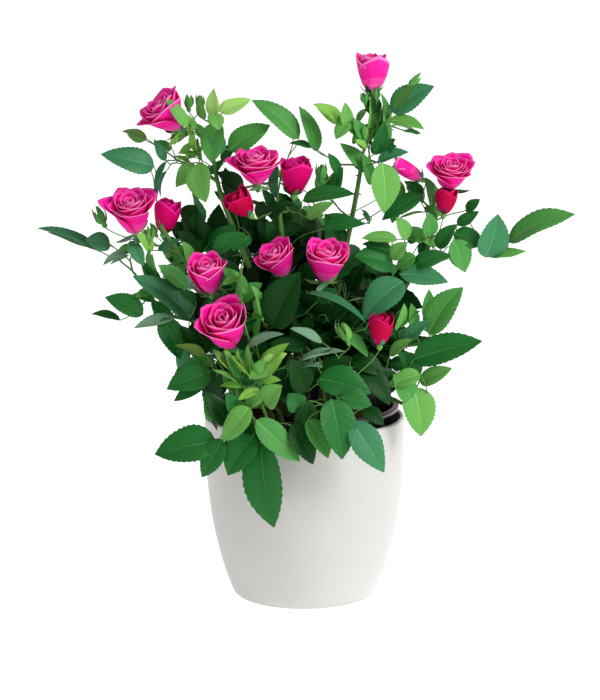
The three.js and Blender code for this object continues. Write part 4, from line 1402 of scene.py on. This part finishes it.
def branch(start, heading, ends, ways):
    """One shoot from start that leaves along heading and reaches all of ends."""
    middle = ends.mean(0)
    ahead = unit(middle - start)
    if len(ends) == 1:
        twigs.append((shoot(start, heading, middle, unit(0.35 * ways[0] + 0.65 * ahead)), 1))
        return
    fork = start + FORK_AT * (middle - start)
    onward = unit(0.75 * ahead + 0.25 * heading)
    twigs.append((shoot(start, heading, fork, onward), len(ends)))
    longest = np.linalg.svd(ends - middle)[2][0]
    share = (ends - middle) @ longest
    first = share <= np.median(share)
    if first.all():
        first = np.arange(len(ends)) < len(ends) // 2
    for half in (first, ~first):
        branch(fork, onward, ends[half], ways[half])


limb_of, spot_of = nearest_spots(targets)
for limb in range(len(LIMBS)):
    for stretch in range(0, SPOTS, GROUP_STRETCH):
        chosen = (limb_of == limb) & (spot_of >= stretch) & (spot_of < stretch + GROUP_STRETCH)
        if not chosen.any():
            continue
        spot = int(np.median(spot_of[chosen]))
        ahead = unit(spots[limb, min(spot + 1, SPOTS - 1)] - spots[limb, max(spot - 1, 0)])
        branch(spots[limb, spot], ahead, targets[chosen], arrivals[chosen])
print("twigs:", len(twigs))

# %% [markdown]
# ## Bark and stems
# Rose wood this young is green, ribbed lengthways, and browner near the soil. Its colour may follow the
# height, because a stem is large enough for a pattern to hold its place. Twigs take one plain green.


# %% Stem finishes
def cane_finish():
    finish = Finish("cane bark", {"IOR": 1.4})
    place = finish.place()
    height = finish.node("ShaderNodeSeparateXYZ", None, {0: place}, "Z")
    drawn_out = finish.node("ShaderNodeMapping", None, {"Vector": place, "Scale": (1, 1, 0.12)})
    streaks = finish.noise(700, 5.0, place=drawn_out)
    age = (0.20 - height) * 6 + (streaks - 0.5) * 0.7
    finish.wire("Base Color", finish.ramp(age, paint(74, 122, 48), paint(104, 84, 50), 0.15, 0.75))
    finish.bump(streaks, 0.0006)
    finish.wire("Roughness", 0.45 + 0.25 * streaks)
    return finish.material


def twig_finish(name, colour):
    finish = Finish(name, {"Base Color": colour, "IOR": 1.4})
    grain = finish.noise(1200)
    finish.bump(grain, 0.0003)
    finish.wire("Roughness", 0.42 + 0.2 * grain)
    return finish.material


cane_bark = cane_finish()
twig_green = twig_finish("twig green", paint(86, 138, 56))
thorn_tan = twig_finish("thorn", paint(150, 110, 70))

# %% Twigs and leaf stalks
TWIG_RADIUS, STALK_RADIUS, THICKEST = 0.42, 0.42, 1.25
FEEDS_POWER = 0.42  # how a twig's radius grows with the number of ends that it feeds
TWIG_TAPER, STALK_TAPER = (np.linspace(1, end, TWIG_STATIONS) for end in (0.86, 0.7))
TWIG_SIDES = 5
twig_heap = Heap([twig_green])
handles, feeds = (np.array(x, float) for x in zip(*twigs))
foot_radius = np.minimum(TWIG_RADIUS * feeds**FEEDS_POWER, THICKEST)
add_tubes(twig_heap, bezier(handles, TWIG_STATIONS), np.outer(foot_radius, TWIG_TAPER), TWIG_SIDES)
stalks = np.concatenate([filling[mass][0] for mass in FILL])
add_tubes(twig_heap, stalks, np.tile(STALK_RADIUS * STALK_TAPER, (len(stalks), 1)), TWIG_SIDES)
twig_heap.piece("twigs_and_leaf_stalks")

# %% Canes and boughs with their bark
CANE_FORM = {"foot": 2.4, "tip": 1.3, "flare": 1.4, "flare_length": 0.06}
BOUGH_FORM = {"foot": 1.7, "tip": 1.0, "flare": 0.5, "flare_length": 0.1}
BARK_SIDES = 18
BARK_STEP = 1.6
NODE_EVERY = 21.0  # from one leaf joint to the next
THORN_EVERY = 11.0
THORN_RADII = (0.75, 0.34, 0.05)
bark_rng = np.random.default_rng(53)


def taper(form, along):
    return form["foot"] + (form["tip"] - form["foot"]) * along


def bark_radii(form, along, length, phase):
    """Radius over (station, side): the taper and the flare at the foot, times five soft ribs, a swelling
    ring at each leaf joint and a fine unevenness."""
    angle = 2 * np.pi * np.arange(BARK_SIDES) / BARK_SIDES
    plain = taper(form, along) + form["flare"] * np.exp(-along / form["flare_length"])
    run = along * length
    joint = np.exp(-((((run + phase * 3) % NODE_EVERY) - NODE_EVERY / 2) / 1.5) ** 2)
    ribs = 0.045 * np.sin(5 * angle[None] + phase + 0.03 * run[:, None])
    fine = 0.02 * np.sin(9 * angle[None] + 0.9 * run[:, None] + phase)
    return plain[:, None] * (1 + ribs + fine + 0.16 * joint[:, None])


thorns = Heap([thorn_tan])
for name, handles in LIMBS.items():
    form = CANE_FORM if name in CANES else BOUGH_FORM
    length = np.linalg.norm(np.diff(bezier(handles, 60), axis=0), axis=1).sum()
    stations = int(length / BARK_STEP)
    path = even_steps(handles, stations)
    along = np.linspace(0, 1, stations)
    phase = bark_rng.uniform(0, ROUND)
    heap = Heap([cane_bark])
    add_tubes(heap, path[None], bark_radii(form, along, length, phase)[None], BARK_SIDES)
    heap.piece(f"{name}_bark", replaces=[name])
    count = int(length / THORN_EVERY)
    pick = bark_rng.integers(3, stations - 3, count)
    ahead = unit(path[pick + 1] - path[pick - 1])
    out = square_to(ahead, bark_rng.normal(size=(count, 3)))
    reach = bark_rng.uniform(1.6, 2.8, count)[:, None]
    foot = path[pick] + offsets(out, 0.8 * taper(form, along[pick]))
    middle = foot + out * reach * 0.6
    tip = foot + out * reach - ahead * reach * 0.35
    add_tubes(thorns, np.stack([foot, middle, tip], 1), np.tile(THORN_RADII, (count, 1)), TWIG_SIDES)
thorns.piece("prickles")

# %% [markdown]
# ## The two pots and the soil
# Pots are turned shapes: an outline carried round the axis. The cover pot is moulded plastic with a satin
# skin, its rim rounded over. The grower's pot is thin, glossy and black, with flutes down its side. The
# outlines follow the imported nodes, with arcs in place of their corners.


# %% Turned pieces
def arc(centre, radius, start, end, count):
    """Points of an arc, by angles in degrees."""
    angle = np.radians(np.linspace(start, end, count))
    return np.stack([centre[0] + radius * np.cos(angle), centre[1] + radius * np.sin(angle)], -1)


def turned_piece(name, profile, around, finish, node, relief=None):
    """profile runs from the axis up the outside and back to the axis as (radius, height). Its two ends
    are single points on the axis. relief(angle, radius, height) adds to the radius."""
    angle = 2 * np.pi * np.arange(around) / around
    radius, height = profile[1:-1, 0][:, None], profile[1:-1, 1][:, None]
    if relief is not None:
        radius = radius + relief(angle[None], radius, height)
    ring = np.stack(np.broadcast_arrays(radius * np.cos(angle), radius * np.sin(angle), height), -1)
    rows = len(profile) - 2
    poles = np.array([[0, 0, profile[0, 1]], [0, 0, profile[-1, 1]]])
    points = np.concatenate([ring.reshape(-1, 3), poles])
    side = np.arange(around)
    beside = (side + 1) % around
    foot = np.stack([beside, side, np.full(around, rows * around)], -1)
    last = (rows - 1) * around
    top = np.stack([side + last, beside + last, np.full(around, rows * around + 1)], -1)
    u, v = np.meshgrid(angle / (2 * np.pi), np.linspace(0, 1, rows))
    uvs = np.concatenate([np.stack([u, v], -1).reshape(-1, 2), [[0.5, 0], [0.5, 1]]])
    heap = Heap([finish])
    heap.add(points[None], uvs, (wall_corners(rows, around), np.concatenate([foot, top])), 0, 0)
    return heap.piece(name, replaces=[node])


def pot_radius(height):
    share = np.clip(height / POT["height"], 0, 1)
    return POT["foot"] + (POT["rim"] - POT["foot"]) * (1 - (1 - share) ** POT["swell"])


def ivory_finish():
    finish = Finish("ivory satin plastic", {"IOR": 1.46, "Coat Roughness": 0.3})
    grain = finish.noise(1600, 4.0)
    cloud = finish.noise(14)
    finish.wire("Base Color", finish.ramp(cloud, paint(189, 187, 183), paint(194, 192, 189)))
    finish.bump(grain, 0.00012)
    finish.wire("Roughness", 0.34 + 0.12 * grain)
    finish.wire("Coat Weight", 0.1 + 0.1 * cloud)
    return finish.material


def grower_finish():
    finish = Finish("black moulded plastic", {"IOR": 1.5})
    cloud = finish.noise(60)
    dust = finish.noise(900)
    finish.wire("Base Color", finish.ramp(cloud, paint(14, 14, 15), paint(34, 34, 36)))
    finish.bump(cloud * 0.6 + dust * 0.2, 0.0006)
    finish.wire("Roughness", 0.16 + 0.2 * dust)
    return finish.material


def soil_finish():
    finish = Finish("peat", {"IOR": 1.3})
    crumbs = finish.noise(420, 8.0, 0.7)
    finish.wire("Base Color", finish.ramp(crumbs, paint(22, 14, 9), paint(92, 66, 44)))
    finish.bump(crumbs, 0.002)
    finish.wire("Roughness", 0.8 + 0.15 * crumbs)
    return finish.material


# %% The cover pot
COVER_SIDES = 160
wall, lip = POT["wall"], POT["wall"] / 2
up = np.linspace(POT["edge"], POT["height"] - lip, 40)
outside = np.stack([pot_radius(up), up], -1)
down = np.linspace(POT["height"] - lip, POT["floor"] + 2, 30)
inside = np.stack([pot_radius(down) - wall, down], -1)
rim_middle = (pot_radius(POT["height"]) - lip, POT["height"] - lip)
foot_edge = arc((POT["foot"] - POT["edge"], POT["edge"]), POT["edge"], -90, -8, 6)
turned_piece(
    "cover_pot_moulded",
    np.concatenate([
        [[0, 0.9], [30, 0.9], [38, 0.6], [39, 0.0]], foot_edge, outside, arc(rim_middle, lip, 12, 168, 9),
        inside, arc((pot_radius(6) - wall - 2, POT["floor"] + 2), 2, 0, -90, 5), [[0, POT["floor"]]],
    ]),
    COVER_SIDES, ivory_finish(), "cover_pot",
)


# %% The grower's pot and the soil
def grower_radius(height):
    return GROWER["bottom"] + (GROWER["top"] - GROWER["bottom"]) * (height - GROWER_FOOT) / GROWER["height"]


FLUTES = 36
FLUTE_DEPTH = 0.35
SOIL_SIDES = 96
CRUMBS = 420
CRUMB_PROFILE = np.array([0.35, 0.95, 0.8, 0.2])
CRUMB_RISE = np.array([0, 0.35, 0.9, 1.4])


def flutes(angle, radius, height):
    """Shallow ribs on the wall below the lip, none on the lip, the floor or the inside."""
    below_lip = np.clip((GROWER_LIP - GROWER["lip_depth"] - height) / 3, 0, 1)
    on_wall = radius > grower_radius(height) - 0.4
    return FLUTE_DEPTH * np.sin(FLUTES * angle) * below_lip * on_wall


under_lip = GROWER_LIP - GROWER["lip_depth"]
rise = np.linspace(GROWER_FOOT + 1.5, under_lip, 24)
fall = np.linspace(GROWER_LIP - 1, GROWER_FOOT + 3, 16)
lip_out = grower_radius(GROWER_LIP) + GROWER["lip_reach"]
turned_piece(
    "grower_pot_moulded",
    np.concatenate([
        [[0, GROWER_FOOT], [grower_radius(GROWER_FOOT) - 1.5, GROWER_FOOT]],
        np.stack([grower_radius(rise), rise], -1),
        [[lip_out - 0.5, under_lip + 1.0], [lip_out, under_lip + 1.6]],
        arc((lip_out - 0.7, GROWER_LIP - 0.7), 0.7, 0, 90, 4),
        arc((grower_radius(GROWER_LIP) - GROWER["wall"] + 0.6, GROWER_LIP - 0.6), 0.6, 90, 180, 4),
        np.stack([grower_radius(fall) - GROWER["wall"], fall], -1),
        [[grower_radius(GROWER_FOOT) - 5, GROWER_FOOT + GROWER["wall"]], [0, GROWER_FOOT + GROWER["wall"]]],
    ]),
    6 * FLUTES, grower_finish(), "grower_pot", flutes,
)

soil_bottom = GROWER_FOOT + GROWER["wall"] + GAP
clear = GROWER["wall"] + GAP
soil_rings = np.linspace(grower_radius(SOIL_TOP) - clear - 1, 1.2, 34)
mound = SOIL_TOP - 1.2 + 0.5 * np.sin(soil_rings * 0.9) + 0.4 * np.sin(soil_rings * 2.3)
peat = soil_finish()
turned_piece(
    "potting_soil_crumbly",
    np.concatenate([
        [[0, soil_bottom], [grower_radius(soil_bottom) - clear, soil_bottom]],
        [[grower_radius(SOIL_TOP) - clear, SOIL_TOP - 2]],
        np.stack([soil_rings, mound], -1), [[0, SOIL_TOP - 1]],
    ]),
    SOIL_SIDES, peat, "potting_soil",
)
crumb_rng = np.random.default_rng(61)
crumb_heap = Heap([peat])
turn = crumb_rng.uniform(0, 2 * np.pi, CRUMBS)
off = (grower_radius(SOIL_TOP) - 6) * np.sqrt(crumb_rng.random(CRUMBS))
size = crumb_rng.uniform(0.7, 2.3, CRUMBS)
start = np.stack([off * np.cos(turn), off * np.sin(turn), SOIL_TOP - 1.6 - 0.3 * size], -1)
lean = unit(np.stack([*crumb_rng.normal(size=(2, CRUMBS)) * 0.6, np.ones(CRUMBS)], -1))
crumb_paths = start[:, None] + offsets(lean, np.outer(size, CRUMB_RISE))
crumb_radii = np.outer(size, CRUMB_PROFILE)[..., None] * crumb_rng.uniform(0.7, 1.1, (CRUMBS, 4, 6))
add_tubes(crumb_heap, crumb_paths, crumb_radii, 6)
crumb_heap.piece("peat_crumbs", smooth=False)

# %% [markdown]
# ## Floor and light
# A catalogue picture is lit to be white all round: a broad white floor, a bright even sky and one large soft
# lamp from the right, which shades the pot gently towards the left.

# %% Stage
FLOOR_RADIUS = 14.0
LAMP_AT = (1.5, -1.0, 1.3)
LAMP_SIZE = 1.0
LAMP_WATTS = 33.0
SKY_STRENGTH = 0.44
FLOOR_GLOW = 0.68
FLOOR_CORNERS = 64
FLOOR_HEIGHT = -0.0002

floor_finish = Finish("white floor", {
    "Base Color": (0.93, 0.93, 0.93, 1), "Roughness": 0.9,
    "Emission Color": (1, 1, 1, 1), "Emission Strength": FLOOR_GLOW,
})
floor_mesh = bpy.data.meshes.new("floor")
turn = np.linspace(0, 2 * np.pi, FLOOR_CORNERS, endpoint=False)
ring = [(FLOOR_RADIUS * math.cos(x), FLOOR_RADIUS * math.sin(x), FLOOR_HEIGHT) for x in turn]
floor_mesh.from_pydata(ring, [], [range(FLOOR_CORNERS)])
floor_mesh.materials.append(floor_finish.material)
floor = bpy.data.objects.new("floor", floor_mesh)
bpy.context.scene.collection.objects.link(floor)

lamp_data = bpy.data.lights.new("soft lamp", "AREA")
lamp_data.energy = LAMP_WATTS
lamp_data.size = LAMP_SIZE
lamp = bpy.data.objects.new("soft lamp", lamp_data)
lamp.location = LAMP_AT
lamp.rotation_euler = (Vector(AIM * MM) - Vector(LAMP_AT)).to_track_quat("-Z", "Y").to_euler()
bpy.context.scene.collection.objects.link(lamp)

world = bpy.data.worlds.new("studio")
bpy.context.scene.world = world
world.use_nodes = True
world.node_tree.nodes["Background"].inputs["Color"].default_value = (1, 1, 1, 1)
world.node_tree.nodes["Background"].inputs["Strength"].default_value = SKY_STRENGTH
bpy.context.scene.view_settings.view_transform = "Standard"

# %% Sizes, and the end
print("CAD box", [[round(x / MM) for x in c] for c in cad_box])
